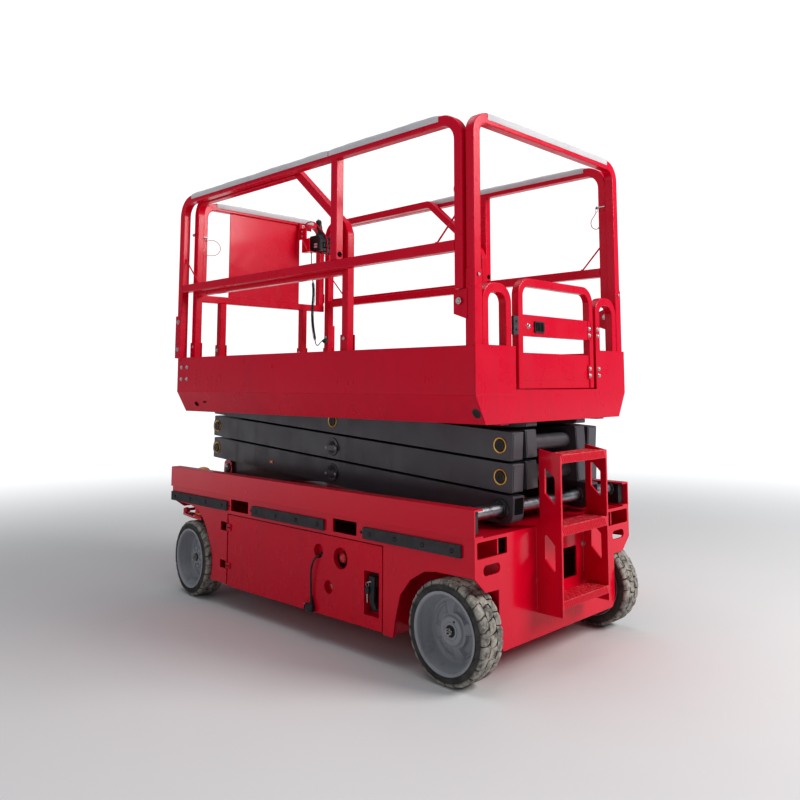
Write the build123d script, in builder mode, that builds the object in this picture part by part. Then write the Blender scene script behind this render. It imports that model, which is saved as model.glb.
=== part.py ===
from build123d import *
import math
import os

os.makedirs("parts", exist_ok=True)

# ------------------------------------------------------------------
# Slab scissor lift, three arm stages, rails up, platform lowered.
# Row frame: +X forward, +Y left, +Z up, origin on the ground under the
# middle of the outline.  Stations along the machine are measured forward
# of the rear face of the chassis and shifted by MID into the row frame.
# ------------------------------------------------------------------

# chassis
REAR_MOST = -125.0            # rear edge of the ladder
FRONT_MOST = 2302.0           # front end of the side channels
MID = (REAR_MOST + FRONT_MOST) / 2
CHANNEL_OUT = 587.0           # outer face of a side channel
CHANNEL_LOW, CHANNEL_TOP = 577.0, 688.0
CHANNEL_FLANGE, CHANNEL_WALL = 55.0, 8.0
SIDE_OUT, SIDE_WALL = 582.0, 8.0
DECK_LOW, DECK_TOP = 565.0, 577.0
BOX_HALF = 300.0              # half width of the centre box between the trays
TAIL_HALF = 437.0             # half width of the tail between the rear wheels
BELLY = 130.0                 # underside of the centre box

# wheels
WHEEL_R, WHEEL_W = 202.0, 127.0
WHEEL_Y = 526.5
REAR_AXLE, FRONT_AXLE = 156.0, 2060.0
STEER_REST = -4.6             # degrees, both front wheels, as parked
STEER_ARM = 190.0

# scissor stack
ARM_PIVOT = 2168.9            # pin to pin
LEVEL0, LEVEL_STEP = 655.0, 389.0 / 3
PIVOT_FRONT = 2241.0
ARM_DEPTH = 118.0
OVER_REAR, OVER_FRONT = 62.0, 35.0   # how far the arms reach past their end pins
OUT0, OUT1 = 250.0, 325.0     # outer arms, inner and outer face
INN0, INN1 = 152.0, 229.0     # inner arms
PIN_R = 25.0
RUN = 0.05                    # radial running clearance
SHAFT_R = 27.0
TILT = math.degrees(math.asin(LEVEL_STEP / ARM_PIVOT))
PIVOT_REAR = PIVOT_FRONT - ARM_PIVOT * math.cos(math.radians(TILT))

# lift cylinder: foot on the lowest inner arms, rod eye at the highest
FOOT_AT, EYE_AT, EYE_DROP = 1950.0, 219.0, 33.0

# platform
SKIRT_OUT, SKIRT_TOP, SKIRT_FOLD, SKIRT_LOW, APRON_HALF = 576.0, 1319.0, 1124.0, 1008.0, 514.0
FLOOR_LOW, FLOOR_TOP = 1118.0, 1137.0
TUBE = 45.0
TUBE_WALL = 3.0
RAIL_Y = 560.0
RAIL_TOP = 2285.0
INNER_Y, INNER_TUBE = 503.0, 42.0


def X(station):
    return station - MID


# ---- small building helpers: each adds to the part that is open --------
def block(x0, x1, y0, y1, z0, z1, mode=Mode.ADD):
    with Locations((X((x0 + x1) / 2), (y0 + y1) / 2, (z0 + z1) / 2)):
        Box(x1 - x0, y1 - y0, z1 - z0, mode=mode)


def side_shape(points, y0, y1, mode=Mode.ADD, radius=0):
    """A profile drawn in the side view, (station, height), made y0..y1 wide."""
    with BuildSketch(Plane(origin=(0, y1, 0), x_dir=(1, 0, 0), z_dir=(0, -1, 0))) as sk:
        with BuildLine():
            Polyline(*[(X(a), b) for a, b in points], close=True)
        make_face()
        if radius:
            fillet(sk.vertices(), radius)
    extrude(to_extrude=sk.sketch, amount=y1 - y0, mode=mode)


def end_shape(points, x0, x1, mode=Mode.ADD, radius=0):
    """A profile drawn in the end view, (across, height), made x0..x1 long."""
    with BuildSketch(Plane(origin=(X(x0), 0, 0), x_dir=(0, 1, 0), z_dir=(1, 0, 0))) as sk:
        with BuildLine():
            Polyline(*points, close=True)
        make_face()
        if radius:
            fillet(sk.vertices(), radius)
    extrude(to_extrude=sk.sketch, amount=x1 - x0, mode=mode)


def top_shape(points, z0, z1, mode=Mode.ADD, radius=0):
    """A profile drawn from above, (station, across), made z0..z1 high."""
    with BuildSketch(Plane.XY.offset(z0)) as sk:
        with BuildLine():
            Polyline(*[(X(a), b) for a, b in points], close=True)
        make_face()
        if radius:
            fillet(sk.vertices(), radius)
    extrude(to_extrude=sk.sketch, amount=z1 - z0, mode=mode)


def rod(start, axis, r, length, mode=Mode.ADD):
    with Locations(Plane(origin=(X(start[0]), start[1], start[2]), z_dir=axis)):
        Cylinder(r, length, align=(Align.CENTER, Align.CENTER, Align.MIN), mode=mode)


def tube(points, radius, size, wall, across, mode=Mode.ADD):
    """A square tube bent along points (station, across, height)."""
    pts = [(X(a), b, c) for a, b, c in points]
    with BuildLine() as way:
        if len(pts) == 2:
            Line(pts[0], pts[1])
        else:
            FilletPolyline(*pts, radius=radius)
    line = way.wire()
    with BuildSketch(Plane(origin=line @ 0, x_dir=across, z_dir=line % 0)) as section:
        RectangleRounded(size, size, 5)
        if wall:
            RectangleRounded(size - 2 * wall, size - 2 * wall, 2.5, mode=Mode.SUBTRACT)
    sweep(sections=section.sketch, path=line, mode=mode)


def hose(points, r, mode=Mode.ADD):
    """A round cord along points in the row frame: straight runs joined by
    tangent arcs, each as large as its two runs allow."""
    runs = [(Vector(*b) - Vector(*a)).length for a, b in zip(points, points[1:])]
    radii = []
    for i in range(1, len(points) - 1):
        a = Vector(*points[i]) - Vector(*points[i - 1])
        b = Vector(*points[i + 1]) - Vector(*points[i])
        turn = math.radians(a.get_angle(b))
        radii.append(0.45 * min(runs[i - 1], runs[i]) / math.tan(turn / 2))
    print("cord runs", [round(v) for v in runs], "radii", [round(v) for v in radii])
    with BuildLine() as way:
        FilletPolyline(*points, radius=radii)
    line = way.wire()
    with BuildSketch(Plane(origin=line @ 0, z_dir=line % 0)) as section:
        Circle(r)
    sweep(sections=section.sketch, path=line, mode=mode)
    print("cord length", round(line.length, 1))


# ==================================================================
# chassis
# ==================================================================
with BuildPart() as chassis_frame:
    # deck over the whole chassis
    block(8, 2282, -(SIDE_OUT - SIDE_WALL), SIDE_OUT - SIDE_WALL, DECK_LOW, DECK_TOP)
    # centre box between the trays: walls, floor and front wall
    for s in (-1, 1):
        block(440, 2100, min(s * BOX_HALF, s * (BOX_HALF - 8)), max(s * BOX_HALF, s * (BOX_HALF - 8)), BELLY, DECK_LOW)
    block(440, 2100, -BOX_HALF, BOX_HALF, BELLY, BELLY + 8)
    block(2092, 2100, -BOX_HALF, BOX_HALF, BELLY, DECK_LOW)
    # tail box between the rear wheels
    for s in (-1, 1):
        block(8, 448, min(s * TAIL_HALF, s * (TAIL_HALF - 8)), max(s * TAIL_HALF, s * (TAIL_HALF - 8)), BELLY, DECK_LOW)
    block(8, 448, -TAIL_HALF, TAIL_HALF, BELLY, BELLY + 8)
    # bulkhead between the rear wheel arch and the trays, and one ahead of them
    for s in (-1, 1):
        a, b = sorted((s * 292, s * (SIDE_OUT - SIDE_WALL)))
        block(448, 456, a, b, BELLY, DECK_LOW)
        a, b = sorted((s * 300, s * (SIDE_OUT - SIDE_WALL)))
        block(1836, 1844, a, b, BELLY, DECK_LOW)
    rod((REAR_AXLE, -TAIL_HALF - 1, WHEEL_R), (0, 1, 0), 25.02, 2 * TAIL_HALF + 2, Mode.SUBTRACT)
    # rear plate
    end_shape([(-412, 128), (412, 128), (437, 158), (437, 367), (520, 370), (585, 430),
               (585, 577), (-585, 577), (-585, 430), (-520, 370), (-437, 367), (-437, 158)], 0, 8)
    for s in (-1, 1):
        a, b = sorted((s * 384, s * 570))
        end_shape([(a, 500), (b, 500), (b, 563), (a, 563)], -1, 9, Mode.SUBTRACT, 6)
        a, b = sorted((s * 430, s * 534))
        end_shape([(a, 432), (b, 432), (b, 472), (a, 472)], -1, 9, Mode.SUBTRACT, 19)
    end_shape([(-117, 326), (-4, 326), (-4, 455), (-117, 455)], -1, 9, Mode.SUBTRACT, 10)
    # front plate, high enough for the steering gear to swing under it
    end_shape([(-510, 455), (510, 455), (574, 500), (574, 577), (-574, 577), (-574, 500)], 2282, 2290)
    # kingpin tubes under the deck, with a gusset to the bulkhead
    for s in (-1, 1):
        rod((FRONT_AXLE, s * WHEEL_Y, 443), (0, 0, 1), 36, DECK_LOW - 443)
        a, b = sorted((s * (WHEEL_Y - 8), s * (WHEEL_Y + 8)))
        block(1844, FRONT_AXLE - 30, a, b, 500, DECK_LOW)
        rod((FRONT_AXLE, s * WHEEL_Y, 440), (0, 0, 1), 18 + RUN, 118, Mode.SUBTRACT)
    # fixed pivot of the lowest inner arms: forked lugs and their pins
    for s in (-1, 1):
        for lo, hi in ((128, 146), (235, 247)):
            a, b = sorted((s * lo, s * hi))
            side_shape([(2190, DECK_TOP), (2289, DECK_TOP), (2280, 690), (2260, 705), (2222, 705), (2205, 690)], a, b)
        a = min(s * 128, s * 247)
        rod((PIVOT_FRONT, a, LEVEL0), (0, 1, 0), PIN_R, 119)
chassis_frame.part.label = "chassis_frame"
export_step(chassis_frame.part, "parts/chassis_frame.step")

with BuildPart() as side_channels:
    for s in (-1, 1):
        c, i = CHANNEL_OUT, CHANNEL_OUT - CHANNEL_FLANGE
        w = CHANNEL_WALL
        end_shape([(s * c, CHANNEL_LOW), (s * c, CHANNEL_TOP), (s * i, CHANNEL_TOP), (s * i, CHANNEL_TOP - w),
                   (s * (c - w), CHANNEL_TOP - w), (s * (c - w), CHANNEL_LOW + w), (s * i, CHANNEL_LOW + w),
                   (s * i, CHANNEL_LOW)], 0, FRONT_MOST)
    block(FRONT_MOST - 8, FRONT_MOST, -(CHANNEL_OUT - CHANNEL_FLANGE), CHANNEL_OUT - CHANNEL_FLANGE,
          CHANNEL_LOW, CHANNEL_LOW + 50)
side_channels.part.label = "side_channels"
export_step(side_channels.part, "parts/side_channels.step")

# Each side plate is made of touching lengths, cut at the edges of its two
# fork pockets, so that every length around a pocket is a plain bar.
outline = [(8, 577), (2290, 577), (2290, 500), (2080, 489), (2007, 472), (1965, 444), (1929, 405), (1898, 355),
           (1871, 303), (1856, 262), (1848, 215), (1848, 190), (1853, 158), (1864, 121), (1708, 121),
           (1708, 484), (509, 484), (509, 121), (448, 121), (436, 195), (407, 301), (349, 371), (269, 417),
           (209, 426), (8, 430)]
plate_lengths = []
for s in (-1, 1):
    a, b = sorted((s * (SIDE_OUT - SIDE_WALL), s * SIDE_OUT))
    for lo, hi, z0, z1 in ((680, 841, 484, 502), (680, 841, 561, 577), (841, 1519, 484, 577),
                           (1519, 1678, 484, 502), (1519, 1678, 561, 577)):
        with BuildPart() as bar:
            block(lo, hi, a, b, z0, z1)
        plate_lengths.append(bar.part.solid())
    with BuildPart() as rear_length:
        side_shape(outline, a, b)
        block(0, 680, a - 1, b + 1, 100, 600, Mode.INTERSECT)
    plate_lengths.append(rear_length.part.solid())
    with BuildPart() as front_length:
        side_shape(outline, a, b)
        block(1678, 2300, a - 1, b + 1, 100, 600, Mode.INTERSECT)
        # hinge notches, ears and pins
        for lo, hi in ((393, 438), (199, 240)):
            block(1700, 1770, a - 1, b + 1, lo, hi, Mode.SUBTRACT)
            e0, e1 = sorted((s * 576, s * 587))      # stops short of the opened door's corner
            block(1700, 1718, e0, e1, hi, hi + 8)
            block(1700, 1718, e0, e1, lo - 8, lo)
            rod((1703, s * 583, lo - 2), (0, 0, 1), 3, hi - lo + 4)
    plate_lengths.append(front_length.part.solid())
side_plates = Compound(plate_lengths)
side_plates.label = "side_plates"
export_step(side_plates, "parts/side_plates.step")

with BuildPart() as rear_ladder:
    for s in (-1, 1):
        a, b = sorted((s * 173, s * 185))
        side_shape([(0, 228), (0, 577), (-18, 600), (-18, 896), (-125, 876), (-125, 228)], a, b)
        side_shape([(-47, 817), (-58, 817), (-96, 780), (-96, 673), (-90, 673), (-46, 715)], a - 1, b + 1, Mode.SUBTRACT)
        side_shape([(-44, 545), (-55, 545), (-93, 508), (-93, 402), (-86, 402), (-43, 448)], a - 1, b + 1, Mode.SUBTRACT)
    for top, lip in ((876, 35), (588, 40), (292, 32)):
        block(-125, -22, -173, 173, top - 5, top)
        block(-125, -120, -173, 173, top - lip, top - 5)
rear_ladder.part.label = "rear_ladder"
export_step(rear_ladder.part, "parts/rear_ladder.step")

with BuildPart() as rub_strips:
    for s in (-1, 1):
        a, b = sorted((s * SIDE_OUT, s * (SIDE_OUT + 11)))
        for lo, hi in ((1706, 2287), (898, 1475), (66, 631)):
            block(lo, hi, a, b, 499, 549)
rub_strips.part.label = "rub_strips"
export_step(rub_strips.part, "parts/rub_strips.step")

with BuildPart() as rear_axle:
    rod((REAR_AXLE, -WHEEL_Y - 20, WHEEL_R), (0, 1, 0), 25, 2 * WHEEL_Y + 40)
    for s in (-1, 1):
        a = min(s * TAIL_HALF, s * (TAIL_HALF + 14))
        rod((REAR_AXLE, a, WHEEL_R), (0, 1, 0), 60, 14)
rear_axle.part.label = "rear_axle"
export_step(rear_axle.part, "parts/rear_axle.step")

with BuildPart() as beacon_lamp:
    rod((2200, 440, DECK_TOP), (0, 0, 1), 52, 22)
    rod((2200, 440, DECK_TOP + 22), (0, 0, 1), 42, 82)
    fillet(beacon_lamp.edges().group_by(Axis.Z)[-1], 26)
beacon_lamp.part.label = "beacon_lamp"
export_step(beacon_lamp.part, "parts/beacon_lamp.step")

# ==================================================================
# swing-out trays: door, floor and battery block
# ==================================================================
for side, s in (("left", 1), ("right", -1)):
    with BuildPart() as tray_door:
        a, b = sorted((s * 574, s * 582))
        side_shape([(515, 129), (1698, 114), (1698, 480), (515, 480)], a, b)
        # floor and inner wall of the tray
        a, b = sorted((s * 345, s * 574))
        block(570, 1640, a, b, 140, 146)
        block(570, 576, a, b, 146, 300)
        block(1634, 1640, a, b, 146, 300)
        # battery block
        a, b = sorted((s * 352, s * 556))
        block(640, 1300, a, b, 146, 396)
        # hinge barrels with their leaves
        for lo, hi in ((393, 438), (199, 240)):
            rod((1703, s * 583, lo + 6), (0, 0, 1), 7, hi - lo - 12)
            e0, e1 = sorted((s * 580, s * 588))
            block(1670, 1703, e0, e1, lo + 6, hi - 6)
            rod((1703, s * 583, lo + 5), (0, 0, 1), 3 + RUN, hi - lo - 10, Mode.SUBTRACT)
        # openings in the door: latch pocket, cable hole, switch recess, small recess
        a, b = sorted((s * 570, s * 583))
        side_shape([(533, 182), (628, 180), (628, 366), (533, 368)], a, b, Mode.SUBTRACT, 6)
        rod((942, min(s * 570, s * 584), 401), (0, 1, 0), 33, 14, Mode.SUBTRACT)
        rod((786, min(s * 570, s * 584), 391), (0, 1, 0), 48, 14, Mode.SUBTRACT)
        rod((868, min(s * 570, s * 584), 252), (0, 1, 0), 30, 14, Mode.SUBTRACT)
        # shallow cups behind the openings
        for cx, cz, r, d in ((942, 401, 33, 20), (786, 391, 48, 26), (868, 252, 30, 20)):
            if side == "left" or cx == 786:
                y0 = s * 574 if s < 0 else 574 - d
                rod((cx, y0, cz), (0, 1, 0), r + 3, d)
                rod((cx, y0 + (3 if s > 0 else -1), cz), (0, 1, 0), r, d - 2, Mode.SUBTRACT)
        y0, y1 = sorted((s * 540, s * 574))
        block(530, 631, y0, y1, 177, 371)
        y0, y1 = sorted((s * 543, s * 575))
        block(533, 628, y0, y1, 180, 368, Mode.SUBTRACT)
    tray_door.part.label = side + "_tray_door"
    export_step(tray_door.part, "parts/" + side + "_tray_door.step")

    with BuildPart() as latch_handle:
        a, b = sorted((s * 543, s * 549))
        block(560, 622, a, b, 190, 352)
        a, b = sorted((s * 549, s * 562))
        block(566, 600, a, b, 300, 340)
        a, b = sorted((s * 562, s * 576))
        side_shape([(568, 344), (604, 344), (600, 230), (574, 205), (556, 212), (572, 240)], a, b)
    latch_handle.part.label = side + "_latch_handle"
    export_step(latch_handle.part, "parts/" + side + "_latch_handle.step")

with BuildPart() as estop_button:
    rod((786, 551, 391), (0, 1, 0), 14, 12)
    rod((786, 563, 391), (0, 1, 0), 22, 14)
    fillet(estop_button.edges().group_by(Axis.Y)[-1], 4)
estop_button.part.label = "estop_button"
export_step(estop_button.part, "parts/estop_button.step")

# charger lead: out of the cable hole, over its lip and down the door
CORD_R = 4.5
charger_route = [(X(940), 557, 380), (X(940), 578, 380), (X(950), 594, 372), (X(962), 600, 351), (X(974), 600, 318),
                 (X(981), 595, 270), (X(983), 592, 222), (X(979), 592, 192)]
with BuildPart() as charger_cord:
    hose(charger_route, CORD_R)
charger_cord.part.label = "charger_cord"
export_step(charger_cord.part, "parts/charger_cord.step")

with BuildPart() as charger_plug:
    tip = Vector(*charger_route[-1])
    way = (tip - Vector(*charger_route[-2])).normalized()
    with Locations(Plane(origin=tuple(tip), z_dir=tuple(way))):
        Cone(6, 9, 34, align=(Align.CENTER, Align.CENTER, Align.MIN))
    foot = tip + way * 30
    with Locations((foot.X - 0, foot.Y + 4, foot.Z - 15)):
        Box(34, 26, 34)
    with Locations((foot.X + 26, foot.Y + 4, foot.Z - 19)):
        Box(44, 26, 26)
charger_plug.part.label = "charger_plug"
export_step(charger_plug.part, "parts/charger_plug.step")

# ==================================================================
# wheels, knuckles and steering
# ==================================================================
corners = (("rear_left", REAR_AXLE, 1, 0), ("rear_right", REAR_AXLE, -1, 0),
           ("front_left", FRONT_AXLE, 1, STEER_REST), ("front_right", FRONT_AXLE, -1, STEER_REST))
for name, station, s, turn in corners:
    hub = Plane(origin=(X(station), s * WHEEL_Y, WHEEL_R),
                x_dir=(math.cos(math.radians(turn)), math.sin(math.radians(turn)), 0),
                z_dir=(-s * math.sin(math.radians(turn)), s * math.cos(math.radians(turn)), 0))
    half = WHEEL_W / 2
    # the wheel's axis points outboard; profiles are (radius, outboard)
    side = Plane(origin=hub.origin, x_dir=hub.x_dir, z_dir=tuple(hub.x_dir.cross(hub.z_dir)))
    flip = 1 if side.y_dir.dot(hub.z_dir) > 0 else -1
    with BuildPart() as tyre:
        with BuildSketch(side):
            with BuildLine():
                Polyline(*[(a, b * flip) for a, b in (
                    (152, -half), (190, -half), (WHEEL_R, -half + 14), (WHEEL_R, half - 14), (190, half), (152, half))],
                    close=True)
            make_face()
        revolve(axis=Axis(tuple(hub.origin), tuple(hub.z_dir)))
    tyre.part.label = "tyre_" + name
    export_step(tyre.part, "parts/tyre_" + name + ".step")
    with BuildPart() as rim:
        with BuildSketch(side):
            with BuildLine():
                Polyline(*[(a, b * flip) for a, b in (
                    (25 + RUN, -40), (58, -40), (58, -10), (146, -26), (146, -half + 2), (151.7, -half + 2),
                    (151.7, half + 0.3), (158, half + 0.3), (158, half + 3), (143, half + 3), (124, -2), (64, 14),
                    (64, 26), (25 + RUN, 26))], close=True)
            make_face()
        revolve(axis=Axis(tuple(hub.origin), tuple(hub.z_dir)))
    rim.part.label = "rim_" + name
    export_step(rim.part, "parts/rim_" + name + ".step")

for side_name, s in (("left", 1), ("right", -1)):
    c, d = math.cos(math.radians(STEER_REST)), math.sin(math.radians(STEER_REST))
    # steered frame: local x forward along the wheel, local y to the left
    base = Plane(origin=(X(FRONT_AXLE), s * WHEEL_Y, 0), x_dir=(c, d, 0), z_dir=(0, 0, 1))
    with BuildPart() as knuckle:
        # yoke plate over the tyre, with the steering arm reaching forward
        with BuildSketch(base.offset(411)) as sk:
            with BuildLine():
                Polyline((-62, s * 32), (-62, s * -96), (60, s * -96), (96, s * -34), (STEER_ARM + 2, s * -20),
                         (STEER_ARM + 20, s * -8), (STEER_ARM + 20, s * 10), (STEER_ARM + 4, s * 20), (60, s * 34), close=True)
            make_face()
        extrude(to_extrude=sk.sketch, amount=12)
        with Locations(base.offset(423)):
            Cylinder(44, 12, align=(Align.CENTER, Align.CENTER, Align.MIN))
        # leg down the inner side of the wheel and the drive hub
        with BuildSketch(base.offset(140)) as sk:
            with BuildLine():
                Polyline((-50, s * -80), (-50, s * -96), (50, s * -96), (50, s * -80), close=True)
            make_face()
        extrude(to_extrude=sk.sketch, amount=272)
        with Locations(Plane(origin=(X(FRONT_AXLE) + d * s * 96, s * WHEEL_Y - c * s * 96, WHEEL_R), z_dir=(d * s, -c * s, 0))):
            Cylinder(62, 46, align=(Align.CENTER, Align.CENTER, Align.MIN))
        with Locations(Plane(origin=(X(FRONT_AXLE) + d * s * 96, s * WHEEL_Y - c * s * 96, WHEEL_R), z_dir=(-d * s, c * s, 0))):
            Cylinder(25, 118, align=(Align.CENTER, Align.CENTER, Align.MIN))
        # kingpin and the tie rod's pin
        with Locations(base.offset(435)):
            Cylinder(18, 114, align=(Align.CENTER, Align.CENTER, Align.MIN))
        with Locations(Plane(origin=(X(FRONT_AXLE) + c * STEER_ARM, s * WHEEL_Y + d * STEER_ARM, 423), z_dir=(0, 0, 1))):
            Cylinder(8, 27, align=(Align.CENTER, Align.CENTER, Align.MIN))
    knuckle.part.label = "knuckle_" + side_name
    export_step(knuckle.part, "parts/knuckle_" + side_name + ".step")

with BuildPart() as tie_rod:
    c, d = math.cos(math.radians(STEER_REST)), math.sin(math.radians(STEER_REST))
    tx, ty = FRONT_AXLE + c * STEER_ARM, d * STEER_ARM
    rod((tx, ty - WHEEL_Y + 12, 437), (0, 1, 0), 8, 2 * WHEEL_Y - 24)
    for s in (-1, 1):
        rod((tx, ty + s * WHEEL_Y, 426), (0, 0, 1), 19, 20)
        rod((tx, ty + s * WHEEL_Y, 420), (0, 0, 1), 8 + RUN, 40, Mode.SUBTRACT)
tie_rod.part.label = "tie_rod"
export_step(tie_rod.part, "parts/tie_rod.step")

# ==================================================================
# scissor arms
# ==================================================================
def arm_pair(centre_z, tilt, y0, y1, bores, soft):
    """Two hollow arms, one each side.  soft lists the (x, z) signs of the
    corners that are cut back so that they clear a deck when the arm turns."""
    mid = (PIVOT_FRONT + PIVOT_REAR) / 2
    t = math.radians(tilt)
    front, rear = ARM_PIVOT / 2 + OVER_FRONT, -ARM_PIVOT / 2 - OVER_REAR
    for s in (-1, 1):
        a, b = sorted((s * y0, s * y1))
        flat = Plane(origin=(X(mid), b, centre_z), x_dir=(math.cos(t), 0, math.sin(t)), z_dir=(0, -1, 0))
        with BuildSketch(flat) as sk:
            with BuildLine():
                Polyline((front, -ARM_DEPTH / 2), (front, ARM_DEPTH / 2), (rear, ARM_DEPTH / 2), (rear, -ARM_DEPTH / 2), close=True)
            make_face()
            for sx, sz in ((1, 1), (1, -1), (-1, 1), (-1, -1)):
                cut = (40 if sx < 0 else 30) if (sx, sz) in soft else 6
                fillet([v for v in sk.vertices() if v.X * sx > ARM_PIVOT / 2 + 30 and v.Y * sz > ARM_DEPTH / 2 - 1], cut)
        extrude(to_extrude=sk.sketch, amount=b - a)
        inside = flat.offset(6)
        with BuildSketch(inside) as sk:
            Rectangle(ARM_PIVOT - 20, ARM_DEPTH - 12)
        extrude(to_extrude=sk.sketch, amount=b - a - 12, mode=Mode.SUBTRACT)
        for at in (-ARM_PIVOT / 2, 0, ARM_PIVOT / 2):
            spot = flat.from_local_coords(Vector(at, 0, 0))
            with Locations(Plane(origin=tuple(spot), z_dir=(0, -1, 0))):
                Cylinder(46, b - a, align=(Align.CENTER, Align.CENTER, Align.MIN))
        for at in bores:
            spot = flat.from_local_coords(Vector(at, 0, -1))
            with Locations(Plane(origin=tuple(spot), z_dir=(0, -1, 0))):
                Cylinder(PIN_R + RUN, b - a + 2, align=(Align.CENTER, Align.CENTER, Align.MIN), mode=Mode.SUBTRACT)


H = ARM_PIVOT / 2
for k in (1, 2, 3):
    mid_z = LEVEL0 + (k - 0.5) * LEVEL_STEP
    front_z, rear_z = LEVEL0 + k * LEVEL_STEP, LEVEL0 + (k - 1) * LEVEL_STEP
    mid_x = (PIVOT_FRONT + PIVOT_REAR) / 2
    soft_outer = {1: ((-1, -1),), 2: (), 3: ((1, 1),)}[k]
    soft_inner = {1: ((1, -1),), 2: (), 3: ((-1, 1),)}[k]
    # outer arms: rear end low, front end high; their pins reach inwards
    with BuildPart() as outer_arms:
        arm_pair(mid_z, TILT, OUT0, OUT1, (), soft_outer)
        for s in (-1, 1):
            a = min(s * 146, s * (OUT1 + 5))
            spots = [(mid_x, mid_z)]
            if k < 3:
                spots.append((PIVOT_FRONT, front_z))
            if k > 1:
                spots.append((PIVOT_REAR, rear_z))
            for px, pz in spots:
                rod((px, a, pz), (0, 1, 0), PIN_R, OUT1 + 5 - 146)
        if k == 3:
            for s in (-1, 1):
                a = min(s * 231, s * 345)
                rod((PIVOT_FRONT, a, front_z), (0, 1, 0), PIN_R, 114)
        if k == 1:
            for s in (-1, 1):
                rod((PIVOT_REAR, min(s * (OUT0 - 1), s * (OUT1 + 1)), rear_z), (0, 1, 0), SHAFT_R + 0.02, OUT1 - OUT0 + 2, Mode.SUBTRACT)
    outer_arms.part.label = "outer_arms_%d" % k
    export_step(outer_arms.part, "parts/outer_arms_%d.step" % k)
    # inner arms: front end low, rear end high
    with BuildPart() as inner_arms:
        arm_pair(mid_z, -TILT, INN0, INN1, (-H, 0, H) if k < 3 else (0, H), soft_inner)
        if k < 3:
            # cross tube at the rear pivots
            rod((PIVOT_REAR, -INN0 - 6, front_z), (0, 1, 0), 34, 2 * INN0 + 12)
            for s in (-1, 1):
                rod((PIVOT_REAR, min(s * 140, s * (INN1 + 1)), front_z), (0, 1, 0), PIN_R + RUN, INN1 + 1 - 140, Mode.SUBTRACT)
        else:
            for s in (-1, 1):
                rod((PIVOT_REAR, min(s * (INN0 - 1), s * (INN1 + 1)), front_z), (0, 1, 0), SHAFT_R + 0.02, INN1 - INN0 + 2, Mode.SUBTRACT)
        t = math.radians(TILT)
        if k == 1:
            # shaft that carries the foot of the lift cylinder
            fx, fz = PIVOT_FRONT - FOOT_AT * math.cos(t), LEVEL0 + FOOT_AT * math.sin(t)
            rod((fx, -INN0 - 4, fz), (0, 1, 0), 20, 2 * INN0 + 8)
            for s in (-1, 1):
                a = min(s * 56, s * INN0)
                rod((fx, a, fz), (0, 1, 0), 32, INN0 - 56)
        if k == 3:
            # cross tube above the rod eye, with two ears beside it
            ex, ez = PIVOT_FRONT - EYE_AT * math.cos(t), LEVEL0 + 2 * LEVEL_STEP + EYE_AT * math.sin(t)
            up = (math.sin(t), math.cos(t))
            tx, tz = ex + up[0] * EYE_DROP, ez + up[1] * EYE_DROP
            lx, lz = ex - up[0] * EYE_DROP, ez - up[1] * EYE_DROP
            rod((tx, -INN0 - 4, tz), (0, 1, 0), 25, 2 * INN0 + 8)
            for s in (-1, 1):
                a, b = sorted((s * 42, s * 56))
                side_shape([(tx - 40, tz + 8), (tx - 22, tz + 24), (tx + 22, tz + 24), (tx + 40, tz + 8),
                            (lx + 34, lz - 20), (lx + 14, lz - 34), (lx - 14, lz - 34), (lx - 34, lz - 20)], a, b)
                a = min(s * 56, s * 64)
                rod((lx, a, lz), (0, 1, 0), 24, 8)
    inner_arms.part.label = "inner_arms_%d" % k
    export_step(inner_arms.part, "parts/inner_arms_%d.step" % k)

with BuildPart() as lower_slider_shaft:
    rod((PIVOT_REAR, -528, LEVEL0), (0, 1, 0), SHAFT_R, 1056)
    rod((PIVOT_REAR, -572, LEVEL0), (0, 1, 0), 16, 1144)
lower_slider_shaft.part.label = "lower_slider_shaft"
export_step(lower_slider_shaft.part, "parts/lower_slider_shaft.step")

with BuildPart() as lower_slide_blocks:
    for s in (-1, 1):
        a, b = sorted((s * 534, s * 577))
        block(PIVOT_REAR - 52, PIVOT_REAR + 52, a, b, 587, 678)
        rod((PIVOT_REAR, a - 1, LEVEL0), (0, 1, 0), 16 + RUN, 45, Mode.SUBTRACT)
lower_slide_blocks.part.label = "lower_slide_blocks"
export_step(lower_slide_blocks.part, "parts/lower_slide_blocks.step")

LEVEL3 = LEVEL0 + 3 * LEVEL_STEP
with BuildPart() as upper_slider_shaft:
    rod((PIVOT_REAR, -340, LEVEL3), (0, 1, 0), SHAFT_R, 680)
    rod((PIVOT_REAR, -384, LEVEL3), (0, 1, 0), 16, 768)
upper_slider_shaft.part.label = "upper_slider_shaft"
export_step(upper_slider_shaft.part, "parts/upper_slider_shaft.step")

with BuildPart() as upper_slide_blocks:
    for s in (-1, 1):
        a, b = sorted((s * 350, s * 390))
        block(PIVOT_REAR - 45, PIVOT_REAR + 45, a, b, LEVEL3 - 33.5, LEVEL3 + 33.5)
        rod((PIVOT_REAR, a - 1, LEVEL3), (0, 1, 0), 16 + RUN, 42, Mode.SUBTRACT)
upper_slide_blocks.part.label = "upper_slide_blocks"
export_step(upper_slide_blocks.part, "parts/upper_slide_blocks.step")

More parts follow.
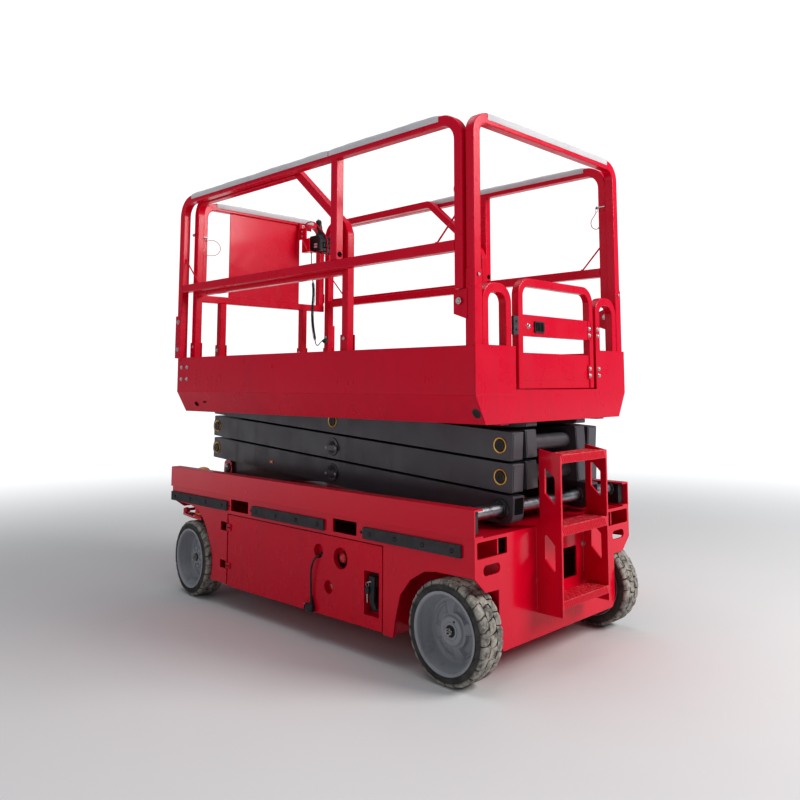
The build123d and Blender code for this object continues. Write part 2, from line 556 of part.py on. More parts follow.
# lift cylinder between the arms
t = math.radians(TILT)
foot = Vector(X(PIVOT_FRONT - FOOT_AT * math.cos(t)), 0, LEVEL0 + FOOT_AT * math.sin(t))
eye = Vector(X(PIVOT_FRONT - EYE_AT * math.cos(t) - EYE_DROP * math.sin(t)), 0,
             LEVEL0 + 2 * LEVEL_STEP + EYE_AT * math.sin(t) - EYE_DROP * math.cos(t))
CLOSED = (eye - foot).length
ram = (eye - foot).normalized()
print("cylinder closed", round(CLOSED, 2), "angle", round(math.degrees(math.atan2(ram.Z, ram.X)), 3))
with BuildPart() as cylinder_barrel:
    with Locations(Plane(origin=tuple(foot + ram * 30), z_dir=tuple(ram))):
        Cylinder(50, 1560, align=(Align.CENTER, Align.CENTER, Align.MIN))
    with Locations(Plane(origin=tuple(foot + ram * 90), z_dir=tuple(ram))):
        Cylinder(42, 1460, align=(Align.CENTER, Align.CENTER, Align.MIN), mode=Mode.SUBTRACT)
        Cylinder(28 + RUN, 1560, align=(Align.CENTER, Align.CENTER, Align.MIN), mode=Mode.SUBTRACT)
    with Locations(Plane(origin=(foot.X, 30, foot.Z), z_dir=(0, -1, 0))):
        Cylinder(42, 60, align=(Align.CENTER, Align.CENTER, Align.MIN))
    with Locations(Plane(origin=(foot.X, 60, foot.Z), z_dir=(0, -1, 0))):
        Cylinder(20 + RUN, 120, align=(Align.CENTER, Align.CENTER, Align.MIN), mode=Mode.SUBTRACT)
cylinder_barrel.part.label = "cylinder_barrel"
export_step(cylinder_barrel.part, "parts/cylinder_barrel.step")

with BuildPart() as cylinder_rod:
    with Locations(Plane(origin=tuple(foot + ram * 120), z_dir=tuple(ram))):
        Cylinder(28, CLOSED - 120, align=(Align.CENTER, Align.CENTER, Align.MIN))
        Cylinder(42 - RUN, 45, align=(Align.CENTER, Align.CENTER, Align.MIN))
    with Locations(Plane(origin=(eye.X, 35, eye.Z), z_dir=(0, -1, 0))):
        Cylinder(36, 70, align=(Align.CENTER, Align.CENTER, Align.MIN))
cylinder_rod.part.label = "cylinder_rod"
export_step(cylinder_rod.part, "parts/cylinder_rod.step")

# ==================================================================
# platform
# ==================================================================
with BuildPart() as platform_deck:
    block(2, 2281, -565, 565, FLOOR_LOW, FLOOR_TOP)
    block(2, 2281, -570, 570, FLOOR_TOP - 10, FLOOR_TOP)
    # slide rails for the upper blocks, open inwards, hung from the deck
    for s in (-1, 1):
        c, i = s * 400, s * 345
        lo, hi = LEVEL3 - 43, LEVEL3 + 43
        end_shape([(c, lo), (c, FLOOR_LOW), (c - s * 8, FLOOR_LOW), (c - s * 8, hi), (i, hi), (i, hi - 8), (c - s * 8, hi - 8),
                   (c - s * 8, lo + 8), (i, lo + 8), (i, lo)], 14, 1100)
        # lugs of the fixed front pivot
        for u, v in ((232, 244), (331, 343)):
            a, b = sorted((s * u, s * v))
            side_shape([(2185, FLOOR_LOW), (2200, 1020), (2222, 1002), (2258, 1002), (2275, 1020), (2279, FLOOR_LOW)], a, b)
            rod((PIVOT_FRONT, a - 1, LEVEL3), (0, 1, 0), PIN_R + RUN, b - a + 2, Mode.SUBTRACT)
    # front apron, open between the arms
    for s in (-1, 1):
        end_shape([(s * 565, FLOOR_LOW), (s * 508, SKIRT_LOW + 4), (s * 352, SKIRT_LOW + 4), (s * 352, FLOOR_LOW)], 2281, 2287)
    block(2281, 2287, -565, 565, FLOOR_LOW, FLOOR_TOP)
platform_deck.part.label = "platform_deck"
export_step(platform_deck.part, "parts/platform_deck.step")

with BuildPart() as platform_skirts:
    for s in (-1, 1):
        end_shape([(s * 576, SKIRT_TOP), (s * 576, SKIRT_FOLD), (s * 514, SKIRT_LOW), (s * 508, SKIRT_LOW + 3),
                   (s * 570, SKIRT_FOLD + 2), (s * 570, SKIRT_TOP)], 2, 2287)
platform_skirts.part.label = "platform_skirts"
export_step(platform_skirts.part, "parts/platform_skirts.step")

with BuildPart() as platform_rear_plate:
    end_shape([(-576, SKIRT_FOLD), (-514, SKIRT_LOW), (514, SKIRT_LOW), (576, SKIRT_FOLD), (576, 1325), (314, 1325),
               (314, 1143), (-314, 1143), (-314, 1325), (-576, 1325)], -4, 2)
    # sill across the entry
    block(2, 40, -314, 312, FLOOR_TOP, FLOOR_TOP + 6)
platform_rear_plate.part.label = "platform_rear_plate"
export_step(platform_rear_plate.part, "parts/platform_rear_plate.step")

with BuildPart() as corner_posts:
    for s in (-1, 1):
        # fixed corner post with the rail's gusset
        tube([(27.5, s * 545, FLOOR_TOP), (27.5, s * 545, 1628)], 0, 50, 3, (0, 1, 0))
        for lo, hi in ((540, 546), (568, 574)):
            a, b = sorted((s * lo, s * hi))
            side_shape([(40, 1426), (110, 1450), (110, 1530), (52.5, 1548), (40, 1548)], a, b)
            rod((76, a - 1, 1500), (0, 1, 0), 9 + RUN, b - a + 2, Mode.SUBTRACT)
        # feet of the front posts, bolted inside the skirts
        block(2246, 2281, min(s * 537.5, s * 570), max(s * 537.5, s * 570), FLOOR_TOP, SKIRT_TOP)
corner_posts.part.label = "corner_posts"
export_step(corner_posts.part, "parts/corner_posts.step")

with BuildPart() as entry_loops:
    for s in (-1, 1):
        tube([(24, s * 500, FLOOR_TOP + 6), (24, s * 500, 1562), (24, s * 348, 1562), (24, s * 348, FLOOR_TOP + 6)],
             60, 40, 3, (1, 0, 0))
entry_loops.part.label = "entry_loops"
export_step(entry_loops.part, "parts/entry_loops.step")

for side_name, s in (("left", 1), ("right", -1)):
    y = s * RAIL_Y
    top = RAIL_TOP - TUBE / 2
    with BuildPart() as main_rail:
        tube([(2272.5, y, SKIRT_TOP), (2272.5, y, top), (76, y, top), (76, y, 1550)], 95, TUBE, TUBE_WALL, (0, 1, 0))
        tube([(2250.1, y, 1729), (98.4, y, 1729)], 0, TUBE, TUBE_WALL, (0, 1, 0))
        tube([(860, y, 1751.4), (860, y, RAIL_TOP - TUBE + 0.1)], 0, TUBE, TUBE_WALL, (0, 1, 0))
        # bracket round the front post's foot
        block(2244, 2301, min(s * 555, s * 589), max(s * 555, s * 589), SKIRT_TOP, 1567)
        block(2250, 2295, s * RAIL_Y - 22.4, s * RAIL_Y + 22.4, SKIRT_TOP - 1, 1568, Mode.SUBTRACT)
        tube([(2272.5, y, SKIRT_TOP), (2272.5, y, 1600)], 0, TUBE, TUBE_WALL, (0, 1, 0))
        # folding pin through the rear post's foot
        rod((76, min(s * 536, s * 582), 1500), (0, 1, 0), 9, 46)
        block(60, 92, min(s * 550, s * 564), max(s * 550, s * 564), 1480, 1551)
        block(54, 98, s * RAIL_Y - 22, s * RAIL_Y + 22, 1549.5, 1554)
    main_rail.part.label = "main_rail_" + side_name
    export_step(main_rail.part, "parts/main_rail_" + side_name + ".step")

with BuildPart() as rear_frame:
    top = 2281 - TUBE / 2
    tube([(27.5, 545, 1628), (27.5, 545, top), (27.5, -545, top), (27.5, -545, 1628)], 70, TUBE, TUBE_WALL, (1, 0, 0))
rear_frame.part.label = "rear_frame"
export_step(rear_frame.part, "parts/rear_frame.step")


def grip_profile(side_half, top_z, lay):
    """Foam cap over a square tube: open below."""
    h = side_half
    return [(-h, top_z - 27), (-h, top_z + 2), (-h + 6, top_z + 8), (h - 6, top_z + 8), (h, top_z + 2), (h, top_z - 27),
            (lay, top_z - 27), (lay, top_z), (-lay, top_z), (-lay, top_z - 27)]


with BuildPart() as rail_grips:
    for s in (-1, 1):
        end_shape([(s * RAIL_Y + a, b) for a, b in grip_profile(29.5, RAIL_TOP, TUBE / 2)], 180, 2170)
    side_shape([(27.5 + a, b) for a, b in grip_profile(26, 2281, TUBE / 2)], -474, 474)
rail_grips.part.label = "rail_grips"
export_step(rail_grips.part, "parts/rail_grips.step")

# ==================================================================
# entry gate
# ==================================================================
GATE_HINGE = -316.0
with BuildPart() as entry_gate:
    # tube arch, mid plate and folded lower panel
    tube([(20, -287, 1149), (20, -287, 1602), (20, 268, 1602), (20, 268, 1149)], 62, 36, 2.5, (1, 0, 0))
    block(4, 36, -269, 250, 1372, 1462)
    block(8, 32, -269, 250, 1149, 1300)
    # hinge barrels
    for z in (1200, 1480):
        block(30, 44, -310, -290, z - 20, z + 20)
        rod((42, GATE_HINGE, z - 20), (0, 0, 1), 8, 40)
        block(36, 44, -314, -300, z - 20, z + 20)
        rod((42, GATE_HINGE, z - 21), (0, 0, 1), 4 + RUN, 42, Mode.SUBTRACT)
entry_gate.part.label = "entry_gate"
export_step(entry_gate.part, "parts/entry_gate.step")

with BuildPart() as gate_hinges:
    for z in (1200, 1480):
        rod((42, GATE_HINGE, z - 32), (0, 0, 1), 4, 64)
        for lo, hi in ((z - 32, z - 22), (z + 22, z + 32)):
            rod((42, GATE_HINGE, lo), (0, 0, 1), 8, hi - lo)
            block(34, 50, -328, -316, lo, hi)
gate_hinges.part.label = "gate_hinges"
export_step(gate_hinges.part, "parts/gate_hinges.step")

with BuildPart() as gate_latch:
    block(-3, 4, 101, 171, 1388, 1436)
    rod((4, 214, 1414), (-1, 0, 0), 9, 12)
gate_latch.part.label = "gate_latch"
export_step(gate_latch.part, "parts/gate_latch.step")

# ==================================================================
# sliding extension
# ==================================================================
with BuildPart() as extension_deck:
    block(800, 2262, -529, 529, 1145, 1157)
    block(2262, 2272, -529, 529, 1145, 1325)
    for s in (-1, 1):
        a, b = sorted((s * 524.2, s * 529))
        block(800, 2262, a, b, 1157, 1215)
extension_deck.part.label = "extension_deck"
export_step(extension_deck.part, "parts/extension_deck.step")

for side_name, s in (("left", 1), ("right", -1)):
    y = s * INNER_Y
    top = 2279 - INNER_TUBE / 2
    foot_z = 1400 if s > 0 else 1500
    with BuildPart() as inner_rail:
        tube([(2208, y, 1158), (2208, y, top), (1240, y, top), (882 - 21, y, 1925), (841, y, 1880), (841, y, 1158)],
             [80, 60, 30, 30], INNER_TUBE, TUBE_WALL, (0, 1, 0))
    with BuildPart() as inner_mid_rail:
        tube([(2187, y, 1709), (862, y, 1709)], 0, INNER_TUBE, TUBE_WALL, (0, 1, 0))
    both = Compound([inner_rail.part.solid(), inner_mid_rail.part.solid()])
    both.label = "inner_rail_" + side_name
    export_step(both, "parts/inner_rail_" + side_name + ".step")

with BuildPart() as front_frame:
    top = 2273 - INNER_TUBE / 2
    tube([(2248, 455, 1700), (2248, 455, top), (2248, -455, top), (2248, -455, 1700)], 75, INNER_TUBE, TUBE_WALL, (1, 0, 0))
    tube([(2248, -476, 1679), (2248, 476, 1679)], 0, INNER_TUBE, TUBE_WALL, (1, 0, 0))
    for s in (-1, 1):
        tube([(2248, s * 311, 1325), (2248, s * 311, 1658.1)], 0, INNER_TUBE, TUBE_WALL, (1, 0, 0))
        # tabs that join the frame to the side rails
        a, b = sorted((s * 476, s * 482))
        block(2229, 2255, a, b, 2100, 2160)
        block(2229, 2255, a, b, 1720, 1780)
    # blank board between the mid bar and the top
    block(2240, 2246, -270, 270, 1700, 2232)
    # bracket that carries the control box
    block(2218, 2227, -345, -252, 2205, 2240)
    block(2150, 2227, -262, -252, 2130, 2205)
    block(2110, 2190, -290, -252, 2040, 2046)
    block(2110, 2138, -345, -290, 2040, 2046)
    block(2110, 2190, -258, -252, 2046, 2130)
    block(2150, 2190, -262, -252, 2120, 2140)
front_frame.part.label = "front_frame"
export_step(front_frame.part, "parts/front_frame.step")

with BuildPart() as front_grip:
    side_shape([(2248 + a, b) for a, b in grip_profile(28, 2273, INNER_TUBE / 2)], -378, 378)
front_grip.part.label = "front_grip"
export_step(front_grip.part, "parts/front_grip.step")

with BuildPart() as control_box:
    side_shape([(2052, 2046), (2162, 2046), (2162, 2150), (2072, 2150), (2052, 2118)], -440, -292)
    rod((2110, -350, 2150), (0, 0, 1), 38, 24)
    rod((2110, -350, 2174), (0, 0, 1), 22, 34)
    rod((2110, -350, 2208), (0, 0, 1), 16, 58)
control_box.part.label = "control_box"
export_step(control_box.part, "parts/control_box.step")

# control lead: thin, then a stretched curly length, then thin again to a socket
lead_top = [(X(2150), -302, 2040), (X(2150), -302, 1990), (X(2151), -307, 1930), (X(2150), -314, 1880), (X(2150), -318, 1846)]
coil_way = [(X(2150), -318, 1846), (X(2150), -326.94, 1770), (X(2150), -320, 1690), (X(2148), -314, 1610), (X(2150), -324, 1530),
            (X(2153), -344, 1455)]
lead_end = [(X(2153), -344, 1455), (X(2153.92), -350.13, 1432), (X(2163), -368, 1421), (X(2179), -393, 1424),
            (X(2193), -418, 1440), (X(2200), -441, 1456), (X(2200), -462, 1456)]
with BuildPart() as control_lead_top:
    hose(lead_top, 3.5)
control_lead_top.part.label = "control_lead_top"
export_step(control_lead_top.part, "parts/control_lead_top.step")
with BuildPart() as control_cord_coil:
    hose(coil_way, 9.5)
control_cord_coil.part.label = "control_cord_coil"
export_step(control_cord_coil.part, "parts/control_cord_coil.step")
with BuildPart() as control_lead_end:
    hose(lead_end, 3.5)
control_lead_end.part.label = "control_lead_end"
export_step(control_lead_end.part, "parts/control_lead_end.step")
with BuildPart() as control_sockets:
    rod((2150, -302, 2046), (0, 0, -1), 8, 6)
    block(2188, 2212, -482, -462, 1442, 1472)
control_sockets.part.label = "control_sockets"
export_step(control_sockets.part, "parts/control_sockets.step")
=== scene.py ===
import bpy
import math
import random
import numpy as np
from mathutils import Vector, Matrix


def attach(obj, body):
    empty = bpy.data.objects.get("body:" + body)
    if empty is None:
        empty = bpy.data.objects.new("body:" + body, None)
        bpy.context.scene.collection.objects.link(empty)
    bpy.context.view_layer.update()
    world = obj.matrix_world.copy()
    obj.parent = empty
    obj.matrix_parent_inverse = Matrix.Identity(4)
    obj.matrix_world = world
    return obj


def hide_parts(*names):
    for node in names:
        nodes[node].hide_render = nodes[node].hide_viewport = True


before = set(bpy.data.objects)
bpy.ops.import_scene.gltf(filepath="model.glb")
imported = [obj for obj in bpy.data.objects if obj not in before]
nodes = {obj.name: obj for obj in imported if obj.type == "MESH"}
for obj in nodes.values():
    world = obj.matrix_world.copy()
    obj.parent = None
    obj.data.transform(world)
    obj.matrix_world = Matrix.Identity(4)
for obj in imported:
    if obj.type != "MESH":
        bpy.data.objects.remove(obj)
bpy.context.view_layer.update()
rnd = random.Random(11)
MID = 1088.5
scene = bpy.context.scene
coll = scene.collection


def M(x, y, z):
    """station, across, height in millimetres to metres in the row frame"""
    return Vector(((x - MID) / 1000.0, y / 1000.0, z / 1000.0))


# ------------------------------------------------------------------
# camera, at the photograph's viewing angle
# ------------------------------------------------------------------
yaw, pitch, roll = math.radians(-46.4), math.radians(5.74), math.radians(-0.1)
F = Vector((math.cos(pitch) * math.cos(yaw), math.cos(pitch) * math.sin(yaw), math.sin(pitch)))
r0 = F.cross(Vector((0, 0, 1))).normalized()
u0 = r0.cross(F)
R = r0 * math.cos(roll) + u0 * math.sin(roll)
U = u0 * math.cos(roll) - r0 * math.sin(roll)
cam_data = bpy.data.cameras.new("camera")
cam_data.sensor_width = 36.0
cam_data.lens = 36.0 * 777.34 / 800.0
cam_data.shift_x = (400.0 - 423.41) / 800.0
cam_data.shift_y = (303.47 - 400.0) / 800.0
cam_data.clip_start, cam_data.clip_end = 0.05, 200
cam = bpy.data.objects.new("camera", cam_data)
coll.objects.link(cam)
cam.matrix_world = Matrix(((R.x, U.x, -F.x, -3.04220), (R.y, U.y, -F.y, 2.91729), (R.z, U.z, -F.z, 1.17873), (0, 0, 0, 1)))
scene.camera = cam


# ------------------------------------------------------------------
# materials: every one is a node graph
# ------------------------------------------------------------------
class Graph:
    def __init__(self, name):
        self.m = bpy.data.materials.new(name)
        self.m.use_nodes = True
        self.t = self.m.node_tree
        self.b = self.t.nodes["Principled BSDF"]
        self.co = self.node("ShaderNodeTexCoord").outputs["Object"]

    def node(self, kind, **kw):
        n = self.t.nodes.new(kind)
        for k, v in kw.items():
            setattr(n, k, v)
        return n

    def link(self, a, b):
        self.t.links.new(a, b)

    def noise(self, scale, detail=4.0, rough=0.55, stretch=None, warp=0.0):
        n = self.node("ShaderNodeTexNoise")
        n.inputs["Scale"].default_value = scale
        n.inputs["Detail"].default_value = detail
        n.inputs["Roughness"].default_value = rough
        n.inputs["Distortion"].default_value = warp
        if stretch:
            mp = self.node("ShaderNodeMapping")
            mp.inputs["Scale"].default_value = stretch
            self.link(self.co, mp.inputs["Vector"])
            self.link(mp.outputs["Vector"], n.inputs["Vector"])
        else:
            self.link(self.co, n.inputs["Vector"])
        return n.outputs["Fac"]

    def span(self, value, a, b, lo=0.0, hi=1.0, smooth=True):
        n = self.node("ShaderNodeMapRange")
        n.interpolation_type = "SMOOTHSTEP" if smooth else "LINEAR"
        n.inputs["From Min"].default_value = a
        n.inputs["From Max"].default_value = b
        n.inputs["To Min"].default_value = lo
        n.inputs["To Max"].default_value = hi
        self.link(value, n.inputs["Value"])
        return n.outputs["Result"]

    def math(self, op, a, b=None):
        n = self.node("ShaderNodeMath", operation=op)
        for i, v in enumerate((a, b)):
            if v is None:
                continue
            if isinstance(v, (int, float)):
                n.inputs[i].default_value = v
            else:
                self.link(v, n.inputs[i])
        return n.outputs[0]

    def mix(self, fac, a, b):
        n = self.node("ShaderNodeMix", data_type="RGBA")
        for key, v in (("Factor", fac), ("A", a), ("B", b)):
            sock = [s for s in n.inputs if s.name == key and s.enabled][0]
            if isinstance(v, (int, float)):
                sock.default_value = v
            elif isinstance(v, tuple):
                sock.default_value = (*v, 1.0)
            else:
                self.link(v, sock)
        return [s for s in n.outputs if s.enabled][0]

    def axis(self, which):
        n = self.node("ShaderNodeSeparateXYZ")
        self.link(self.co, n.inputs[0])
        return n.outputs[which]

    def edge(self, a=0.51, b=0.57):
        g = self.node("ShaderNodeNewGeometry")
        return self.span(g.outputs["Pointiness"], a, b)

    def bump(self, parts):
        """parts: (height socket, strength, distance in metres)"""
        last = None
        for h, strength, dist in parts:
            n = self.node("ShaderNodeBump")
            n.inputs["Strength"].default_value = strength
            n.inputs["Distance"].default_value = dist
            self.link(h, n.inputs["Height"])
            if last is not None:
                self.link(last, n.inputs["Normal"])
            last = n.outputs["Normal"]
        self.link(last, self.b.inputs["Normal"])

    def out(self, color, rough, metal=0.0, spec=0.5, coat=0.0, coat_rough=0.15, ior=1.5):
        self.link(color, self.b.inputs["Base Color"])
        if isinstance(rough, (int, float)):
            self.b.inputs["Roughness"].default_value = rough
        else:
            self.link(rough, self.b.inputs["Roughness"])
        self.b.inputs["Metallic"].default_value = metal
        self.b.inputs["Specular IOR Level"].default_value = spec
        self.b.inputs["Coat Weight"].default_value = coat
        self.b.inputs["Coat Roughness"].default_value = coat_rough
        self.b.inputs["IOR"].default_value = ior
        return self.m


def paint(name, base, deep, bright, rough=(0.26, 0.40), spec=0.22, coat=0.14, wear=0.0, worn=(0.33, 0.05, 0.06),
          dirt=0.35, soil=(0.10, 0.035, 0.03), low=(0.0, 0.75), box=None):
    g = Graph(name)
    broad = g.noise(1.5, 1, 0.4)
    mid = g.noise(19, 5, 0.6)
    col = g.mix(g.span(broad, 0.25, 0.75, 0.0, 0.8), base, deep)
    col = g.mix(g.span(mid, 0.52, 0.75, 0.0, 0.07), col, bright)
    # grime that thins out upwards, in soft vertical runs
    runs = g.noise(2.2, 4, 0.6, stretch=(9, 9, 0.6), warp=0.3)
    height = g.span(g.axis(2), low[0], low[1], 1.0, 0.12)
    grime = g.math("MULTIPLY", g.span(runs, 0.47, 0.72, 0.0, dirt), height)
    spots = g.math("MULTIPLY", g.span(g.noise(7.5, 6, 0.7), 0.55, 0.85, 0.0, dirt * 0.35), height)
    col = g.mix(grime, col, soil)
    col = g.mix(spots, col, soil)
    # rubbed edges
    if wear:
        rub = g.math("MULTIPLY", g.edge(0.515, 0.60), g.span(g.noise(55, 5, 0.65), 0.42, 0.62, 0.0, wear))
        col = g.mix(rub, col, worn)
    # fine straight scuffs
    scuff = g.span(g.noise(14, 8, 0.8, stretch=(1.4, 1.4, 22)), 0.66, 0.74, 0.0, 0.03)
    col = g.mix(scuff, col, bright)
    if box:
        (x0, x1), (y0, y1), (z0, z1), inner = box
        inside = None
        for i, (lo, hi) in enumerate(((x0, x1), (y0, y1), (z0, z1))):
            a = g.axis(i)
            if i == 1:
                a = g.math("ABSOLUTE", a)
            both = g.math("MULTIPLY", g.math("GREATER_THAN", a, lo), g.math("LESS_THAN", a, hi))
            inside = both if inside is None else g.math("MULTIPLY", inside, both)
        col = g.mix(inside, col, inner)
    r = g.span(g.noise(6.5, 4, 0.6), 0.35, 0.7, rough[0], rough[1])
    r = g.math("ADD", r, g.math("MULTIPLY", grime, 0.5))
    g.bump([(g.noise(330, 2, 0.4), 0.10, 0.0004), (g.noise(38, 3, 0.5), 0.08, 0.0012)])
    return g.out(col, r, spec=spec, coat=coat, coat_rough=0.12)


RED = (0.70, 0.0002, 0.0270)
RED_DEEP = (0.63, 0.0002, 0.0290)
RED_BRIGHT = (0.76, 0.006, 0.036)
INNER_BLACK = (0.018, 0.018, 0.02)
m_chassis = paint("chassis_red", RED, RED_DEEP, RED_BRIGHT, dirt=0.16, rough=(0.15, 0.27), coat=0.35)
m_tray = paint("tray_red", RED, RED_DEEP, RED_BRIGHT, dirt=0.2, rough=(0.2, 0.32),
               box=((M(639, 0, 0).x, M(1301, 0, 0).x), (0.351, 0.557), (0.1461, 0.397), INNER_BLACK))
# the chassis red, painted darker as painted shade standing in for the shade on the side skirts; used on the whole
# platform
m_platform_red_painted_darker = paint("platform_red_painted_shade", (0.64, 0.0002, 0.0290), (0.58, 0.0002, 0.031), RED_BRIGHT, low=(0.9, 1.5), dirt=0.12)
m_rail = paint("rail_red", (0.65, 0.0002, 0.0280), (0.58, 0.0002, 0.030), (0.74, 0.008, 0.040), low=(1.1, 2.4), dirt=0.10,
               rough=(0.24, 0.38), coat=0.2)
m_step = paint("step_red", (0.70, 0.002, 0.022), RED_DEEP, (0.78, 0.03, 0.05), low=(0.0, 1.2), dirt=0.3, wear=0.7,
               worn=(0.62, 0.22, 0.22), rough=(0.38, 0.6))
m_arm = paint("arm_charcoal", (0.076, 0.071, 0.083), (0.058, 0.054, 0.065), (0.11, 0.10, 0.11), rough=(0.30, 0.48),
              spec=0.5, coat=0.12, dirt=0.4, soil=(0.075, 0.062, 0.052), low=(0.5, 1.3))
m_edge = paint("arm_rubbed_edge", (0.10, 0.095, 0.105), (0.06, 0.057, 0.065), (0.22, 0.21, 0.22), rough=(0.3, 0.5), dirt=0.2,
               soil=(0.075, 0.062, 0.052), low=(0.5, 1.3))
m_rim = paint("rim_grey", (0.36, 0.37, 0.40), (0.30, 0.31, 0.34), (0.42, 0.43, 0.45), rough=(0.36, 0.52),
              coat=0.1, wear=0.75, worn=(0.40, 0.41, 0.43), dirt=0.35, soil=(0.11, 0.10, 0.088), low=(0.0, 0.5))


def steel(name, base, dull, rough=(0.22, 0.4), grain=(1, 90, 1), metal=1.0, rust=0.0):
    g = Graph(name)
    lines = g.noise(12, 6, 0.7, stretch=grain)
    col = g.mix(g.span(lines, 0.35, 0.7, 0.0, 0.7), base, dull)
    blot = g.noise(26, 5, 0.6)
    col = g.mix(g.span(blot, 0.56, 0.78, 0.0, 0.35 + rust), col, (0.09, 0.055, 0.035) if rust else dull)
    r = g.span(g.noise(30, 4, 0.6), 0.3, 0.7, rough[0], rough[1])
    g.bump([(lines, 0.12, 0.0003), (blot, 0.05, 0.0005)])
    return g.out(col, r, metal=metal, spec=0.5)


m_shaft = steel("ground_steel", (0.34, 0.35, 0.38), (0.20, 0.205, 0.22), rough=(0.24, 0.42), grain=(60, 2, 60))
m_chrome = steel("chromed_rod", (0.66, 0.66, 0.68), (0.48, 0.48, 0.5), rough=(0.10, 0.2), grain=(40, 40, 2))
m_zinc = steel("zinc_bolt", (0.62, 0.62, 0.60), (0.36, 0.36, 0.34), rough=(0.26, 0.44), grain=(30, 30, 30))
m_brass = steel("brass_ring", (0.86, 0.50, 0.13), (0.55, 0.28, 0.06), rough=(0.25, 0.42), grain=(20, 20, 20))
m_pin = paint("pin_black", (0.030, 0.028, 0.030), (0.02, 0.02, 0.022), (0.07, 0.066, 0.066), rough=(0.3, 0.5), wear=0.6,
              worn=(0.2, 0.19, 0.18), dirt=0.3, soil=(0.07, 0.05, 0.04), low=(0.5, 1.3))


def plastic(name, base, lift, rough=(0.35, 0.5), spec=0.45, grain=520.0, coat=0.0, wear=0.3):
    g = Graph(name)
    col = g.mix(g.span(g.noise(24, 5, 0.6), 0.4, 0.75, 0.0, 0.6), base, lift)
    rub = g.math("MULTIPLY", g.edge(0.515, 0.6), g.span(g.noise(70, 4, 0.6), 0.4, 0.65, 0.0, wear))
    col = g.mix(rub, col, tuple(min(1.0, 2.2 * c + 0.03) for c in base))
    r = g.span(g.noise(16, 3, 0.6), 0.35, 0.7, rough[0], rough[1])
    g.bump([(g.noise(grain, 2, 0.5), 0.22, 0.0003), (g.noise(60, 3, 0.5), 0.06, 0.0008)])
    return g.out(col, r, spec=spec, coat=coat)


m_black = plastic("black_moulding", (0.016, 0.018, 0.021), (0.034, 0.036, 0.040))
m_rubber = plastic("black_rubber_strip", (0.048, 0.045, 0.050), (0.070, 0.066, 0.072), rough=(0.55, 0.75), spec=0.3, grain=300)
m_cord = plastic("cord_jacket", (0.020, 0.020, 0.022), (0.040, 0.040, 0.043), rough=(0.38, 0.5), grain=420)
# near-black used as painted shade inside holes, sockets, slots, recesses and open tube mouths; also the colour of one
# black plug
m_black_and_hole_shade = plastic("black_and_painted_hole_shade", (0.007, 0.0055, 0.006), (0.012, 0.009, 0.010), rough=(0.8, 0.95), spec=0.1)
m_stop = plastic("signal_red_button", (0.52, 0.012, 0.022), (0.62, 0.03, 0.045), rough=(0.22, 0.32), coat=0.3, grain=200)
m_label = plastic("pale_label", (0.62, 0.36, 0.42), (0.75, 0.55, 0.6), rough=(0.4, 0.55), grain=200)
m_white = plastic("white_marking", (0.78, 0.77, 0.76), (0.66, 0.64, 0.63), rough=(0.4, 0.55), grain=200)
m_blank = plastic("wire_red_sleeve", (0.55, 0.11, 0.12), (0.66, 0.25, 0.25), rough=(0.35, 0.5), grain=300)
m_tan = plastic("amber_reflector", (0.85, 0.20, 0.02), (0.95, 0.32, 0.05), rough=(0.15, 0.25), coat=0.6, grain=160)


def foam():
    g = Graph("pale_foam")
    col = g.mix(g.span(g.noise(5.5, 5, 0.65), 0.38, 0.72, 0.0, 0.7), (0.56, 0.545, 0.56), (0.47, 0.455, 0.475))
    col = g.mix(g.span(g.noise(24, 6, 0.75), 0.58, 0.74, 0.0, 0.35), col, (0.40, 0.385, 0.40))
    col = g.mix(g.span(g.noise(3.0, 4, 0.6, stretch=(12, 12, 1)), 0.6, 0.75, 0.0, 0.3), col, (0.48, 0.38, 0.40))
    pores = g.node("ShaderNodeTexVoronoi")
    pores.inputs["Scale"].default_value = 420
    g.link(g.co, pores.inputs["Vector"])
    g.bump([(pores.outputs["Distance"], 0.35, 0.0006), (g.noise(30, 5, 0.6), 0.3, 0.003)])
    g.b.inputs["Sheen Weight"].default_value = 0.25
    g.b.inputs["Sheen Roughness"].default_value = 0.5
    return g.out(col, g.span(g.noise(40, 3, 0.6), 0.3, 0.7, 0.62, 0.85), spec=0.3)


m_foam = foam()


def tyre_material():
    g = Graph("worn_tyre")
    at = g.node("ShaderNodeAttribute", attribute_name="wear", attribute_type="GEOMETRY")
    dusty = g.math("MULTIPLY", at.outputs["Fac"], g.span(g.noise(26, 7, 0.75), 0.34, 0.62, 0.15, 1.0))
    col = g.mix(g.span(g.noise(12, 5, 0.6), 0.35, 0.7, 0.0, 0.8), (0.030, 0.029, 0.030), (0.060, 0.058, 0.058))
    col = g.mix(g.math("MULTIPLY", dusty, 0.9), col, (0.46, 0.43, 0.38))
    crumbs = g.math("MULTIPLY", g.span(g.noise(150, 6, 0.8), 0.6, 0.7, 0.0, 0.75), g.math("ADD", at.outputs["Fac"], 0.15))
    col = g.mix(crumbs, col, (0.60, 0.57, 0.53))
    pits = g.math("MULTIPLY", g.span(g.noise(90, 6, 0.8), 0.62, 0.72, 0.0, 0.8), at.outputs["Fac"])
    col = g.mix(pits, col, (0.035, 0.032, 0.03))
    g.bump([(g.noise(70, 7, 0.75), 0.55, 0.0022), (g.noise(420, 3, 0.6), 0.3, 0.0006)])
    return g.out(col, g.span(g.noise(60, 4, 0.6), 0.3, 0.7, 0.62, 0.9), spec=0.3)


m_tyre = tyre_material()


